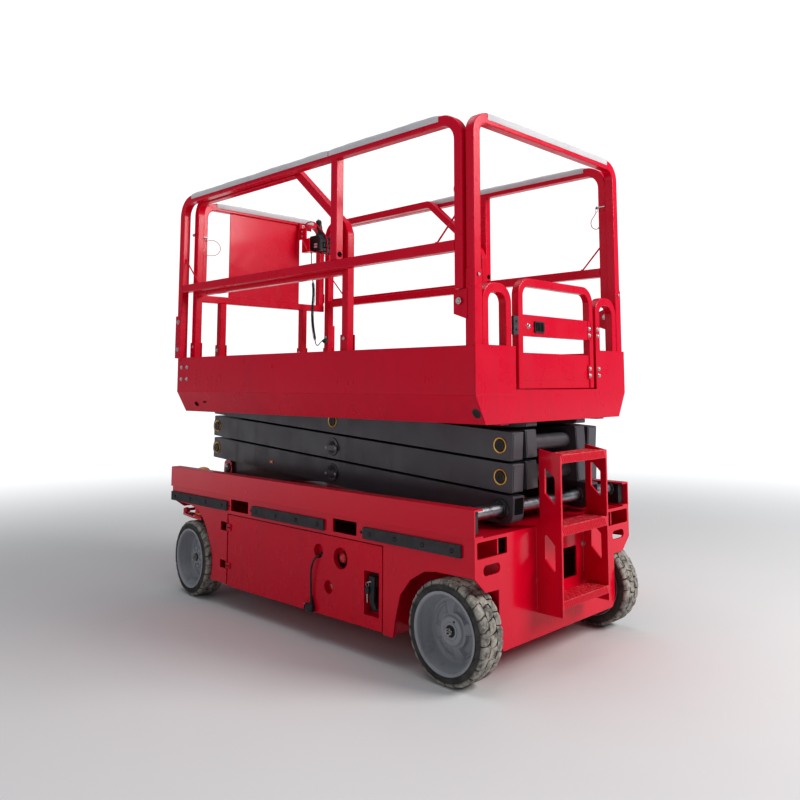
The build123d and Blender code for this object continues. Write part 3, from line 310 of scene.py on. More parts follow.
def lens():
    g = Graph("amber_lens")
    col = g.mix(g.span(g.noise(30, 3, 0.5), 0.35, 0.7, 0.0, 0.6), (0.95, 0.30, 0.02), (0.80, 0.16, 0.01))
    ring = g.node("ShaderNodeTexWave", wave_type="BANDS", bands_direction="Z")
    ring.inputs["Scale"].default_value = 60
    ring.inputs["Distortion"].default_value = 0.2
    g.link(g.co, ring.inputs["Vector"])
    g.bump([(ring.outputs["Fac"], 0.3, 0.0012)])
    g.b.inputs["Emission Color"].default_value = (1.0, 0.28, 0.02, 1)
    g.b.inputs["Emission Strength"].default_value = 0.25
    return g.out(col, g.span(g.noise(20, 2, 0.5), 0.3, 0.7, 0.1, 0.22), coat=0.8, coat_rough=0.05)


m_lens = lens()

LOOK = {}
for n in ("chassis_frame", "side_channels", "side_plates", "rear_ladder"):
    LOOK[n] = m_chassis
LOOK["left_tray_door"] = LOOK["right_tray_door"] = m_tray
for n in ("platform_deck", "platform_skirts", "platform_rear_plate", "corner_posts", "extension_deck"):
    LOOK[n] = m_platform_red_painted_darker
for n in ("entry_loops", "main_rail_left", "main_rail_right", "rear_frame", "entry_gate", "inner_rail_left",
          "inner_rail_right", "front_frame"):
    LOOK[n] = m_rail
for n in nodes:
    if n.startswith(("inner_arms", "outer_arms")):
        LOOK[n] = m_arm
    elif n.startswith("knuckle") or n == "tie_rod":
        LOOK[n] = m_chassis
    elif n.startswith("rim_"):
        LOOK[n] = m_rim
    elif n.startswith("tyre_"):
        LOOK[n] = m_tyre
LOOK.update({"rear_axle": m_shaft, "lower_slider_shaft": m_shaft, "upper_slider_shaft": m_shaft, "cylinder_rod": m_chrome,
             "cylinder_barrel": m_arm, "rub_strips": m_rubber, "gate_hinges": m_zinc, "lower_slide_blocks": m_black,
             "upper_slide_blocks": m_black, "left_latch_handle": m_black, "right_latch_handle": m_black, "gate_latch": m_black,
             "control_sockets": m_black, "control_box": m_black, "charger_plug": m_black, "estop_button": m_stop,
             "beacon_lamp": m_lens, "rail_grips": m_foam, "front_grip": m_foam, "charger_cord": m_cord,
             "control_lead_top": m_cord, "control_cord_coil": m_cord, "control_lead_end": m_cord})
SOFT_EDGE = {"rub_strips": 2.5, "chassis_frame": 1.2, "side_plates": 1.2, "platform_skirts": 1.2, "platform_rear_plate": 1.2,
             "extension_deck": 0.8, "left_tray_door": 1.2, "right_tray_door": 1.2, "rear_ladder": 1.2, "side_channels": 1.8,
             "left_latch_handle": 2.5, "right_latch_handle": 2.5, "lower_slide_blocks": 3.0, "upper_slide_blocks": 3.0,
             "inner_arms_1": 3.0, "inner_arms_2": 3.0, "inner_arms_3": 3.0, "outer_arms_1": 3.0, "outer_arms_2": 3.0,
             "outer_arms_3": 3.0, "entry_gate": 1.0, "gate_latch": 2.0, "knuckle_left": 2.0, "knuckle_right": 2.0}
for n, o in nodes.items():
    if len(o.material_slots):
        for s in o.material_slots:
            s.material = LOOK[n]
    else:
        o.data.materials.append(LOOK[n])
    if n == "side_plates":
        continue
    weld = o.modifiers.new("weld", "WELD")
    weld.merge_threshold = 0.00002
    bev = o.modifiers.new("bevel", "BEVEL")
    bev.width = SOFT_EDGE.get(n, 1.0) / 1000.0
    bev.segments = 2
    bev.limit_method = "ANGLE"
    bev.angle_limit = math.radians(40)
    bev.use_clamp_overlap = True
    wn = o.modifiers.new("normals", "WEIGHTED_NORMAL")
    wn.keep_sharp = True
    wn.weight = 60


# ------------------------------------------------------------------
# mesh building: everything in millimetres (station, across, height)
# ------------------------------------------------------------------
def basis(axis):
    a = Vector(axis).normalized()
    ref = Vector((0, 0, 1)) if abs(a.z) < 0.9 else Vector((1, 0, 0))
    x = ref.cross(a).normalized()
    return x, a.cross(x), a


class Kit:
    def __init__(self, name):
        self.name, self.v, self.f, self.mi, self.mats = name, [], [], [], []
        self.wear = None

    def add(self, verts, faces, mat):
        if mat not in self.mats:
            self.mats.append(mat)
        i, o = self.mats.index(mat), len(self.v)
        self.v.extend([Vector(p) for p in verts])
        self.f.extend([tuple(k + o for k in f) for f in faces])
        self.mi.extend([i] * len(faces))

    def box(self, lo, hi, mat):
        (x0, y0, z0), (x1, y1, z1) = lo, hi
        x0, x1 = sorted((x0, x1)); y0, y1 = sorted((y0, y1)); z0, z1 = sorted((z0, z1))
        v = [(x, y, z) for x in (x0, x1) for y in (y0, y1) for z in (z0, z1)]
        self.add(v, [(0, 1, 3, 2), (4, 6, 7, 5), (0, 4, 5, 1), (2, 3, 7, 6), (0, 2, 6, 4), (1, 5, 7, 3)], mat)

    def prism(self, pts, origin, ux, uy, depth, mat, shrink=1.0, cut=0.0):
        """polygon pts in (ux, uy), extruded along ux x uy; the far end may be chamfered by cut"""
        ux, uy = Vector(ux), Vector(uy)
        n = ux.cross(uy).normalized()
        o = Vector(origin)
        k = len(pts)
        cxm = sum(p[0] for p in pts) / k; cym = sum(p[1] for p in pts) / k
        rings = [(0, 1.0), (depth - cut, 1.0)] + ([(depth, shrink)] if cut else [])
        v = []
        for d, s in rings:
            for a, b in pts:
                v.append(o + ux * (cxm + (a - cxm) * s) + uy * (cym + (b - cym) * s) + n * d)
        f = []
        for r in range(len(rings) - 1):
            for i in range(k):
                j = (i + 1) % k
                f.append((r * k + i, r * k + j, (r + 1) * k + j, (r + 1) * k + i))
        f.append(tuple(range(k))[::-1])
        f.append(tuple((len(rings) - 1) * k + i for i in range(k)))
        self.add(v, f, mat)

    def lathe(self, prof, origin, axis, mat, seg=24, closed=False, turn=0.0):
        x, y, a = basis(axis)
        o = Vector(origin)
        v, f, rings = [], [], []
        for r, h in prof:
            if r < 1e-6:
                rings.append([len(v)])
                v.append(o + a * h)
            else:
                rings.append(list(range(len(v), len(v) + seg)))
                for i in range(seg):
                    t = 2 * math.pi * i / seg + turn
                    v.append(o + a * h + x * (r * math.cos(t)) + y * (r * math.sin(t)))
        pairs = list(zip(rings, rings[1:])) + ([(rings[-1], rings[0])] if closed else [])
        for p, q in pairs:
            for i in range(seg):
                j = (i + 1) % seg
                if len(p) == 1 and len(q) == 1:
                    continue
                if len(p) == 1:
                    f.append((p[0], q[j], q[i]))
                elif len(q) == 1:
                    f.append((p[i], p[j], q[0]))
                else:
                    f.append((p[i], p[j], q[j], q[i]))
        self.add(v, f, mat)

    def tube(self, pts, r, mat, seg=10, caps=True):
        pts = [Vector(p) for p in pts]
        n = len(pts)
        tang = [(pts[min(i + 1, n - 1)] - pts[max(i - 1, 0)]).normalized() for i in range(n)]
        x, y, _ = basis(tang[0])
        v, f = [], []
        for i in range(n):
            if i:
                q = tang[i - 1].rotation_difference(tang[i])
                x = q @ x
                x = (x - tang[i] * x.dot(tang[i])).normalized()
            y = tang[i].cross(x)
            rr = r(i) if callable(r) else r
            for k in range(seg):
                t = 2 * math.pi * k / seg
                v.append(pts[i] + x * (rr * math.cos(t)) + y * (rr * math.sin(t)))
        for i in range(n - 1):
            for k in range(seg):
                j = (k + 1) % seg
                f.append((i * seg + k, i * seg + j, (i + 1) * seg + j, (i + 1) * seg + k))
        if caps:
            f.append(tuple(range(seg))[::-1])
            f.append(tuple((n - 1) * seg + k for k in range(seg)))
        self.add(v, f, mat)

    def weld(self, a, b, r, mat):
        """a rippled weld bead"""
        a, b = Vector(a), Vector(b)
        n = max(4, int((b - a).length / (r * 1.1)))
        pts = [a.lerp(b, i / n) for i in range(n + 1)]
        self.tube(pts, lambda i: r * (0.86 + 0.22 * ((i * 7) % 5) / 5.0 + (0.10 if i % 2 else -0.06)), mat, seg=6)

    def hexbolt(self, p, axis, r=9.0, h=7.0, mat=None, turn=0.2):
        mat = mat or m_zinc
        self.lathe([(r * 1.42, -0.4), (r * 1.42, 1.8), (r * 1.34, 2.4), (0, 2.4)], p, axis, mat, 20)
        self.lathe([(r, 2.3), (r, 2.4 + h * 0.78), (r * 0.86, 2.4 + h), (0, 2.4 + h)], p, axis, mat, 6, turn=turn)

    def domebolt(self, p, axis, r=9.0, h=5.0, mat=None, socket=True):
        mat = mat or m_zinc
        self.lathe([(r * 1.30, -0.4), (r * 1.30, 1.2), (r * 1.22, 1.7), (r * 0.98, 1.7)], p, axis, mat, 20)
        self.lathe([(r, 1.5), (r * 0.97, 1.7 + h * 0.4), (r * 0.80, 1.7 + h * 0.78), (r * 0.5, 1.7 + h), (0, 1.7 + h)], p, axis, mat, 20)
        if socket:
            a = Vector(axis).normalized()
            # a near-black disc on the head paints the shade inside the hex socket
            self.lathe([(r * 0.36, 1.6 + h), (r * 0.36, 2.05 + h), (0, 2.05 + h)], p, axis, m_black_and_hole_shade, 6)

    def lozenge(self, p, along, up, L, W, h, mat):
        p, a, n = Vector(p), Vector(along).normalized(), Vector(up).normalized()
        b = n.cross(a)
        v = [p - a * L - n * 0.3, p - b * W - n * 0.3, p + a * L - n * 0.3, p + b * W - n * 0.3,
             p - a * L * 0.5 + n * h, p + a * L * 0.5 + n * h]
        self.add(v, [(0, 1, 4), (1, 5, 4), (1, 2, 5), (2, 3, 5), (3, 4, 5), (3, 0, 4), (3, 2, 1, 0)], mat)

    def done(self, body, slot=None, bevel=0.0, smooth=38):
        me = bpy.data.meshes.new(self.name)
        me.from_pydata([((p.x - MID) / 1000.0, p.y / 1000.0, p.z / 1000.0) for p in self.v], [], self.f)
        for m in self.mats:
            me.materials.append(m)
        me.polygons.foreach_set("material_index", self.mi)
        me.polygons.foreach_set("use_smooth", [True] * len(me.polygons))
        if self.wear is not None:
            at = me.attributes.new("wear", "FLOAT", "POINT")
            at.data.foreach_set("value", self.wear)
        me.update()
        me.validate()
        me.set_sharp_from_angle(angle=math.radians(smooth))
        o = bpy.data.objects.new(self.name, me)
        coll.objects.link(o)
        if bevel:
            b = o.modifiers.new("bevel", "BEVEL")
            b.width = bevel / 1000.0
            b.segments = 2
            b.limit_method = "ANGLE"
            b.angle_limit = math.radians(38)
            w = o.modifiers.new("normals", "WEIGHTED_NORMAL")
            w.keep_sharp = True
        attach(o, body)
        return o


# ------------------------------------------------------------------
# free cords, on the routes of the solid model
# ------------------------------------------------------------------
def nurbs(name, pts, r=0.0, res=12):
    cu = bpy.data.curves.new(name, "CURVE")
    cu.dimensions = "3D"
    sp = cu.splines.new("NURBS")
    sp.points.add(len(pts) - 1)
    for q, p in zip(sp.points, pts):
        q.co = (*M(*p), 1.0)
    sp.order_u = 3
    sp.use_endpoint_u = True
    sp.resolution_u = res
    cu.resolution_u = res
    if r:
        cu.bevel_depth = r
        cu.bevel_resolution = 5
        cu.use_fill_caps = True
    o = bpy.data.objects.new(name, cu)
    coll.objects.link(o)
    return o


def points_of(pts, res=16):
    """points read off the route's own spline, in metres"""
    o = nurbs("route_reader", pts, 0.0, res)
    bpy.context.view_layer.update()
    me = bpy.data.meshes.new_from_object(o)
    out = [v.co.copy() for v in me.vertices]
    bpy.data.objects.remove(o)
    bpy.data.meshes.remove(me)
    return out


def measure(pts):
    return sum((b - a).length for a, b in zip(pts, pts[1:]))


charger_route = [(940, 557, 380), (940, 578, 380), (950, 594, 372), (962, 600, 351), (974, 600, 318), (981, 595, 270),
                 (983, 592, 222), (979, 592, 192)]
charger = nurbs("charger_lead", charger_route, 0.0045, 14)
charger.data.materials.append(m_cord)
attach(charger, "left_tray")
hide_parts("charger_cord")

lead_top = [(2150, -302, 2040), (2150, -302, 1990), (2151, -307, 1930), (2150, -314, 1880), (2150, -318, 1846)]
coil_way = [(2150, -326.94, 1770), (2150, -320, 1690), (2148, -314, 1610), (2150, -324, 1530), (2153, -344, 1455)]
lead_end = [(2153.92, -350.13, 1432), (2163, -368, 1421), (2179, -393, 1424), (2193, -418, 1440), (2200, -441, 1456),
            (2200, -462, 1456)]
route = points_of(lead_top + coil_way + lead_end, 60)
LEAD_R = 3.0
TURN, COIL_R = 8.2, 7.6
dense = []
for a, b in zip(route, route[1:]):
    k = max(1, int((b - a).length / 0.0006))
    for i in range(k):
        dense.append(a.lerp(b, i / k))
dense.append(route[-1])
z_hi, z_lo = 1.846, 1.452
walk, last_z, path = 0.0, None, []
x_axis = Vector((1, 0, 0))
for i, p in enumerate(dense):
    t = (dense[min(i + 1, len(dense) - 1)] - dense[max(i - 1, 0)]).normalized()
    e = (x_axis - t * x_axis.dot(t)).normalized()
    g2 = t.cross(e)
    if i:
        step = (p - dense[i - 1]).length
        if z_lo < p.z < z_hi:
            walk += step
    up = min(1.0, max(0.0, (z_hi - p.z) / 0.014)) * min(1.0, max(0.0, (p.z - z_lo) / 0.014))
    if p.z < z_lo:
        up = 0.0
    ang = 2 * math.pi * walk / (TURN / 1000.0)
    q = p + (e * math.cos(ang) + g2 * math.sin(ang)) * (COIL_R / 1000.0) * up
    if not path or (q - path[-1]).length > (0.0020 if up > 0 else 0.004):
        path.append(q)
path.append(dense[-1])
kit = Kit("control_lead")
kit.tube([Vector((p.x * 1000 + MID, p.y * 1000, p.z * 1000)) for p in path], LEAD_R, m_cord, seg=8)
control_lead = kit.done("extension", "black_rubber")
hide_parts("control_lead_top", "control_cord_coil", "control_lead_end")

# ------------------------------------------------------------------
# wheels
# ------------------------------------------------------------------
WHEELS = (("rear_left", 156.0, 1, 0.0, "wheel_rear_left"), ("rear_right", 156.0, -1, 0.0, "wheel_rear_right"),
          ("front_left", 2060.0, 1, -4.6, "wheel_front_left"), ("front_right", 2060.0, -1, -4.6, "wheel_front_right"))


def smooth01(t):
    t = min(1.0, max(0.0, t))
    return t * t * (3 - 2 * t)


def build_tyre(name, station, s, turn, body):
    t = math.radians(turn)
    c = Vector((station, s * 526.5, 202))
    u = Vector((math.cos(t), math.sin(t), 0))
    a = Vector((-math.sin(t), math.cos(t), 0)) * s
    w = Vector((0, 0, 1))
    rr = random.Random(len(name) * 7 + int(station))

    def at(r, th, h):
        return c + u * (r * math.cos(th)) + w * (r * math.sin(th)) + a * h

    k = Kit("tread_" + name)
    k.wear = []
    seg = 144
    prof = [(152.2, -60), (156, -62.6), (163, -63.4), (172, -63.2), (180, -61.6), (187, -57.5), (191, -50), (192, -30), (192, 0),
            (192, 30), (191, 50), (187, 57.5), (180, 61.6), (172, 63.2), (163, 63.4), (156, 62.6), (152.2, 60)]
    v = []
    for j, (r, h) in enumerate(prof):
        for i in range(seg):
            th = 2 * math.pi * i / seg
            chip = 0.0
            if 3 <= j <= 6 or 10 <= j <= 13:
                chip = -1.6 * max(0.0, rr.random() - 0.62) - 0.5 * math.sin(th * 9 + j)
            v.append(at(r + chip, th, h * (1 + 0.002 * math.sin(5 * th))))
            k.wear.append(0.22 if abs(h) < 52 else 0.10)
    f = []
    n = len(prof)
    for j in range(n):
        jj = (j + 1) % n
        for i in range(seg):
            ii = (i + 1) % seg
            q = (j * seg + i, j * seg + ii, jj * seg + ii, jj * seg + i)
            f.append(q if s > 0 else q[::-1])
    k.add(v, f, m_tyre)
    # tread blocks: three rows, grooves slanted and slightly wavy
    N = 25
    pitch = 2 * math.pi / N
    rows = ((-61.5, -22.5, 0.0, -1), (-19.0, 19.0, 0.42, 0), (22.5, 61.5, 0.15, 1))
    nu, nv = 6, 5
    for h0, h1, shift, side in rows:
        for b in range(N):
            th0 = (b + shift) * pitch + rr.uniform(-0.006, 0.006)
            half = pitch * rr.uniform(0.448, 0.468)
            worn = rr.uniform(0.0, 0.9)
            top, ring = {}, []
            vs, ws = [], []
            for i in range(nu + 1):
                for j in range(nv + 1):
                    fi, fj = i / nu, j / nv
                    h = h0 + (h1 - h0) * fj
                    wob = 2.2 * math.sin(th0 * 3 + fi * 5.0)
                    hh = h + (wob if 0 < j < nv or side == 0 or (side < 0) == (j == nv) else 0.0)
                    th = th0 + (fi * 2 - 1) * half + 0.0011 * (h - (h0 + h1) / 2) * (1 if side >= 0 else -1)
                    th += 0.010 * math.sin(fj * 4.2 + b)
                    rad = 202.0 - worn * 0.8 - rr.random() * 0.5
                    rim_i = min(fi, 1 - fi) * nu
                    rim_j = min(fj, 1 - fj) * nv
                    if rim_i < 0.5:
                        rad -= 1.5
                    if rim_j < 0.5:
                        rad -= 1.4
                    over = abs(h) - 50.0
                    if over > 0:
                        rad -= 9.0 * (over / 11.5) ** 1.6
                    top[i, j] = len(vs)
                    vs.append(at(rad, th, hh))
                    ws.append(1.0 if rim_i > 0.5 or rim_j > 0.5 else 0.55)
            loop = [(i, 0) for i in range(nu)] + [(nu, j) for j in range(nv)] + [(i, nv) for i in range(nu, 0, -1)] + \
                   [(0, j) for j in range(nv, 0, -1)]
            base = {}
            for i, j in loop:
                p = vs[top[i, j]]
                d = p - c
                h = d.dot(a)
                flat = d - a * h
                over = max(0.0, abs(h) - 50.0)
                rad = 190.5 - (8.5 * (over / 11.5) ** 1.3)
                base[i, j] = len(vs)
                vs.append(c + flat.normalized() * rad + a * h)
                ws.append(0.06)
            fs = []
            for i in range(nu):
                for j in range(nv):
                    q = (top[i, j], top[i + 1, j], top[i + 1, j + 1], top[i, j + 1])
                    fs.append(q[::-1] if s > 0 else q)
            m = len(loop)
            for q in range(m):
                p0, p1 = loop[q], loop[(q + 1) % m]
                quad = (top[p0], base[p0], base[p1], top[p1])
                fs.append(quad[::-1] if s > 0 else quad)
            k.add(vs, fs, m_tyre)
            k.wear.extend(ws)
    o = k.done(body, "tyre_rubber", smooth=50)
    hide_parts("tyre_" + name)

    # dished rim with pressed pockets
    k = Kit("dish_" + name)
    prof = [(151.6, 60.5), (153.5, 63.9), (158.5, 64.4), (159.3, 66.0), (158.2, 67.6), (154, 68.0), (149.5, 67.0), (146.5, 64.0),
            (144.6, 58), (142.6, 48), (139.5, 36), (135.5, 22), (131.5, 9), (128.0, 0), (125.5, -4.5), (122.5, -6.6), (119, -7.2)]
    rr_ = 116.0
    while rr_ > 60:
        prof.append((rr_, -7.0 + (116.0 - rr_) * 0.37))
        rr_ -= 3.0
    prof += [(58.5, 15.0), (57.0, 17.5), (55.6, 20.6), (53.6, 22.4), (50, 23.2), (40, 23.6), (36, 23.6), (35, 22.4), (33.6, 22.4),
             (32.6, 24.6), (28, 25.0), (24, 25.0), (24, 12), (24, -36), (56, -38), (57.5, -24), (120, -26), (128, -16), (138, -30),
             (145.5, -55), (148, -60), (151.6, -60.5)]
    seg = 144
    v, f = [], []
    for j, (r, h) in enumerate(prof):
        for i in range(seg):
            th = 2 * math.pi * i / seg
            d = 0.0
            if 59 < r < 119 and h > -10 and j < 40:
                ph = ((th + 0.22) % (math.pi / 2)) / (math.pi / 2)
                side = smooth01((ph - 0.17) / 0.07) * smooth01((0.83 - ph) / 0.07)
                bow = 5.0 * math.sin(ph * math.pi)
                rad = smooth01((r - 66 - bow) / 5) * smooth01((104 + bow * 0.5 - r) / 5)
                d = -11.0 * side * rad
            v.append(c + u * (r * math.cos(th)) + w * (r * math.sin(th)) + a * (h + d))
    n = len(prof)
    for j in range(n):
        jj = (j + 1) % n
        for i in range(seg):
            ii = (i + 1) % seg
            q = (j * seg + i, j * seg + ii, jj * seg + ii, jj * seg + i)
            f.append(q[::-1] if s > 0 else q)
    k.add(v, f, m_rim)
    # raised outline of each pressed pocket
    for q in range(4):
        t0 = q * math.pi / 2 - 0.22
        loop = []
        for frac in range(13):
            ph = 0.155 + 0.69 * frac / 12
            bow = 5.0 * math.sin(ph * math.pi)
            loop.append((t0 + ph * math.pi / 2, 107.5 + bow * 0.5))
        for frac in range(12, -1, -1):
            ph = 0.155 + 0.69 * frac / 12
            bow = 5.0 * math.sin(ph * math.pi)
            loop.append((t0 + ph * math.pi / 2, 64.5 + bow))
        pts = [c + (u * math.cos(th) + w * math.sin(th)) * r + a * (-7.0 + (116.0 - r) * 0.37 + 0.4) for th, r in loop]
        k.tube(pts + pts[:1], 2.3, m_rim, seg=8, caps=False)
    # hub: castle nut with its split pin, and small bolts
    p = c + a * 25
    k.lathe([(23, -14), (23, 0.6), (20.5, 1.6), (15.0, 1.6)], p, a, m_pin, 32)
    k.lathe([(15.4, 1.2), (15.4, 9.0), (14.2, 10.2), (9.4, 10.2), (9.4, 2)], p, a, m_zinc, 6, turn=0.3)
    for q in range(6):
        th = q * math.pi / 3 + 0.25
        d = u * math.cos(th) + w * math.sin(th)
        e = a.cross(d)
        k.prism([(9.8, -3.0), (14.0, -2.6), (14.0, 2.6), (9.8, 3.0)], p + a * 9.5, d, e, 7.5 * (1 if a.dot(d.cross(e)) > 0 else -1),
                m_zinc)
    k.lathe([(9.2, 2), (9.2, 11.5), (7.8, 13.0), (2.5, 13.2), (0, 11.8)], p, a, m_pin, 20)
    k.tube([p + a * 12.8 - u * 15 - w * 3, p + a * 12.8 + u * 15 + w * 3], 1.6, m_zinc, seg=8)
    k.tube([p + a * 12.8 + u * 15 + w * 3, p + a * 9 + u * 19 + w * 1], 1.5, m_zinc, seg=8)
    if turn:
        for q in range(8):
            th = q * math.pi / 4 + 0.2
            k.hexbolt(p + (u * math.cos(th) + w * math.sin(th)) * 42 - a * 0.3, a, 5.2, 4.6, turn=th)
    else:
        # near-black disc paints the shade inside a hole near the hub
        k.lathe([(4.6, -1.2), (4.6, -0.9), (0, -0.9)], p + u * (-18 * s) + w * 38, a, m_black_and_hole_shade, 16)
    # valve-like plug in the dish
    th = 2.3
    k.lathe([(5, -2), (5, 2.5), (3.6, 4.0), (0, 4.0)], c + (u * math.cos(th) + w * math.sin(th)) * 121 + a * -6, a, m_zinc, 12)
    o = k.done(body, "grey_rim", smooth=40)
    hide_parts("rim_" + name)


for w_ in WHEELS:
    build_tyre(*w_)


# ------------------------------------------------------------------
# chassis detail
# ------------------------------------------------------------------
k = Kit("chassis_fasteners")
for s in (-1, 1):
    for lo, hi in ((1706, 2287), (898, 1475), (66, 631)):
        n = 4 if hi - lo > 500 else 3
        for i in range(n):
            x = lo + 45 + (hi - lo - 90) * i / (n - 1)
            # a near-black disc behind each pin head paints the shade of the hole it sits in
            k.lathe([(9.5, 0.0), (9.5, 0.5), (7.5, 0.6), (6.6, -0.5), (0, -0.5)], (x, s * 593, 524), (0, s, 0), m_black_and_hole_shade, 20)
            k.lathe([(6.4, -1.2), (6.4, 1.4), (4.6, 2.8), (2.2, 3.2), (0, 3.2)], (x, s * 593, 524), (0, s, 0), m_pin, 16)
    # side plate screws above the strips and at the channel ends
    for x in (650, 1490, 1694):
        k.domebolt((x, s * 582, 524), (0, s, 0), 5.5, 3.0, m_pin)
    # channel to deck bolts, seen from above
    for x in (150, 520, 900, 1280, 1660, 2040, 2260):
        k.hexbolt((x, s * 556, 585), (0, 0, 1), 7, 5, m_zinc)
    # brass bush on the kingpin
    k.lathe([(27, -3.5), (33, -3.5), (33.8, -2.2), (33.8, 2.2), (33, 3.5), (27, 3.5)], (2060, s * 526.5, 439.2), (0, 0, 1), m_brass, 40,
            closed=True)
    # pivot lugs: pin heads with keeper plates
    k.lathe([(30, 0), (30, 3.2), (27, 5), (0, 5)], (2241, s * 247, 655), (0, s, 0), m_pin, 28)
    k.box((2228, s * 252, 664), (2254, s * 256, 684), m_zinc)
    k.hexbolt((2241, s * 256, 676), (0, s, 0), 6, 4)
k.hexbolt((0, -172, 456), (-1, 0, 0), 10, 8, m_zinc)
chassis_fasteners = k.done("chassis", "bright_steel")

k = Kit("chassis_welds")
for s in (-1, 1):
    for y in (s * 172.4, s * 185.6):
        k.weld((-0.8, y, 232), (-0.8, y, 572), 2.6, m_chassis)
    k.weld((2, s * 437.5, 365), (2, s * 437.5, 160), 2.2, m_chassis)
    k.weld((-19, s * 172.2, 888), (-118, s * 172.2, 871), 2.0, m_chassis)
    for lug in (127.4, 146.6, 234.4, 247.6):
        k.weld((2192, s * lug, 577.5), (2286, s * lug, 577.5), 2.6, m_chassis)
    for a, b in ((2190, 2150),):
        k.weld((2024, s * 510, 565), (2024, s * 543, 565), 2.4, m_chassis)
chassis_welds = k.done("chassis", "red_paint")

# anti-slip pattern on the steps
k = Kit("step_pattern")
for top, lip, x1 in ((876, 35, -26), (588, 40, -26), (292, 32, -26)):
    row = 0
    x = -117.0
    while x < x1:
        y = -164.0 + (6 if row % 2 else 0)
        i = 0
        while y < 166:
            d = (1, 1, 0) if (i + row) % 2 else (1, -1, 0)
            k.lozenge((x, y, top), d, (0, 0, 1), 6.4, 2.1, 1.5, m_step)
            y += 11.5
            i += 1
        x += 10.5
        row += 1
    # diagonal ribs pressed into the lip
    y = -168.0
    while y < 160:
        p = (-125.2, y, top - lip + 2)
        k.prism([(0, 0), (3.2, 0), (3.2 + (lip - 6) * 0.55, lip - 6), ((lip - 6) * 0.55, lip - 6)], (-124.6, y, top - lip + 3), (0, 1, 0),
                (0, 0, 1), -2.2, m_step, shrink=0.9, cut=0.0)
        y += 12.5
    k.tube([(-123.5, -172, top - 0.8), (-123.5, 172, top - 0.8)], 2.4, m_step, seg=10)
step_pattern = k.done("chassis", "red_paint")

# amber beacon: black foot, fluted lens
k = Kit("beacon_detail")
bx_, by_ = 2200.0, 440.0
k.lathe([(52, 0), (52, 14), (50, 19), (46, 22.5), (0, 22.5)], (bx_, by_, 577), (0, 0, 1), m_black, 40)
v, f = [], []
seg = 96
prof = [(43.5, 22), (43.5, 30), (42, 34), (42, 60), (41.5, 74), (38.5, 86), (31, 95), (18, 101), (6, 103.4)]
for r, h in prof:
    for i in range(seg):
        th = 2 * math.pi * i / seg
        rr = r * (1 + (0.022 if 34 <= h <= 74 else 0.0) * (1 if (i // 2) % 2 else -0.6))
        v.append((bx_ + rr * math.cos(th), by_ + rr * math.sin(th), 577 + h))
for j in range(len(prof) - 1):
    for i in range(seg):
        ii = (i + 1) % seg
        f.append((j * seg + i, j * seg + ii, (j + 1) * seg + ii, (j + 1) * seg + i))
f.append(tuple((len(prof) - 1) * seg + i for i in range(seg)))
k.add(v, f, m_lens)
for q in range(3):
    th = q * 2.094 + 0.4
    k.domebolt((bx_ + 47.5 * math.cos(th), by_ + 47.5 * math.sin(th), 577 + 18), (0, 0, 1), 3.4, 2.4, m_zinc)
beacon = k.done("chassis", "amber_lens")
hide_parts("beacon_lamp")

# ------------------------------------------------------------------
# tray doors: switches, lock, key, battery tops
# ------------------------------------------------------------------
for side, s in (("left", 1), ("right", -1)):
    body = side + "_tray"
    k = Kit(side + "_tray_detail")
    # rolled lip of the latch pocket and of the round holes
    lip = [(536, 180), (625, 180), (628, 184), (628, 362), (624, 366), (537, 368), (533, 364), (533, 185)]
    k.tube([(x, s * 581.6, z) for x, z in lip + lip[:1]], 1.5, m_tray, seg=6, caps=False)
    holes = ((786, 391, 48), (942, 401, 33), (868, 252, 30)) if s > 0 else ((786, 391, 48),)
    for cx_, cz_, r_ in holes:
        k.tube([(cx_ + r_ * math.cos(t_ * math.pi / 24), s * 581.6, cz_ + r_ * math.sin(t_ * math.pi / 24)) for t_ in range(49)], 1.3,
               m_tray, seg=6, caps=False)
    # hinge screws
    for z in (415, 219):
        for x in (1680, 1694):
            k.domebolt((x, s * 588, z), (0, s, 0), 4.2, 2.2, m_pin)
    # battery: case seams, lids, caps, straps and terminals on top
    for i in range(4):
        x0 = 644 + i * 164
        k.box((x0, s * 358, 396), (x0 + 158, s * 550, 404), m_black)
        k.box((x0 + 6, s * 356.5, 330), (x0 + 152, s * 352.5, 344), m_black)
        for j in range(3):
            y = s * (390 + j * 60)
            k.lathe([(15, 0), (15, 5), (12.5, 8), (0, 8)], (x0 + 52, y, 404), (0, 0, 1), m_stop, 20)
            k.lathe([(4, 7.5), (4, 10), (0, 10)], (x0 + 52, y, 404), (0, 0, 1), m_stop, 8)
        for y in (s * 372, s * 536):
            k.lathe([(9, 0), (9, 10), (7.5, 12), (0, 12)], (x0 + 122, y, 404), (0, 0, 1), m_zinc, 20)
        if i < 3:
            k.tube([(x0 + 122, s * 536, 412), (x0 + 150, s * 536, 424), (x0 + 186, s * 500, 426), (x0 + 240, s * 420, 424),
                    (x0 + 286, s * 372, 412)], 6.5, m_cord, seg=10)
    o = k.done(body, "black_plastic")

k = Kit("tray_switches")
# small key switch in the low recess
k.lathe([(30, -1), (30, 0.4), (0, 0.4)], (868, 557, 252), (0, 1, 0), m_chassis, 36)
k.lathe([(12, 0), (12, 9), (10.8, 11), (8.2, 11), (8.2, 8.4), (0, 8.4)], (856, 557, 255), (0, 1, 0), m_zinc, 28)
# near-black sliver paints the shade inside the key slot
k.prism([(-1.4, -6), (1.4, -6), (1.4, 6), (-1.4, 6)], (856, 565.5, 255), (0.94, 0, 0.34), (-0.34, 0, 0.94), -1.2, m_black_and_hole_shade)
k.domebolt((882, 557, 256), (0, 1, 0), 2.6, 1.6, m_zinc)
# collar of the stop button
k.lathe([(30, 0), (30, 4), (28, 6), (23, 6.5), (15, 6.5)], (786, 549, 391), (0, 1, 0), m_pin, 40)
k.lathe([(15.5, 5), (15.5, 13), (14, 14)], (786, 549, 391), (0, 1, 0), m_black, 32)
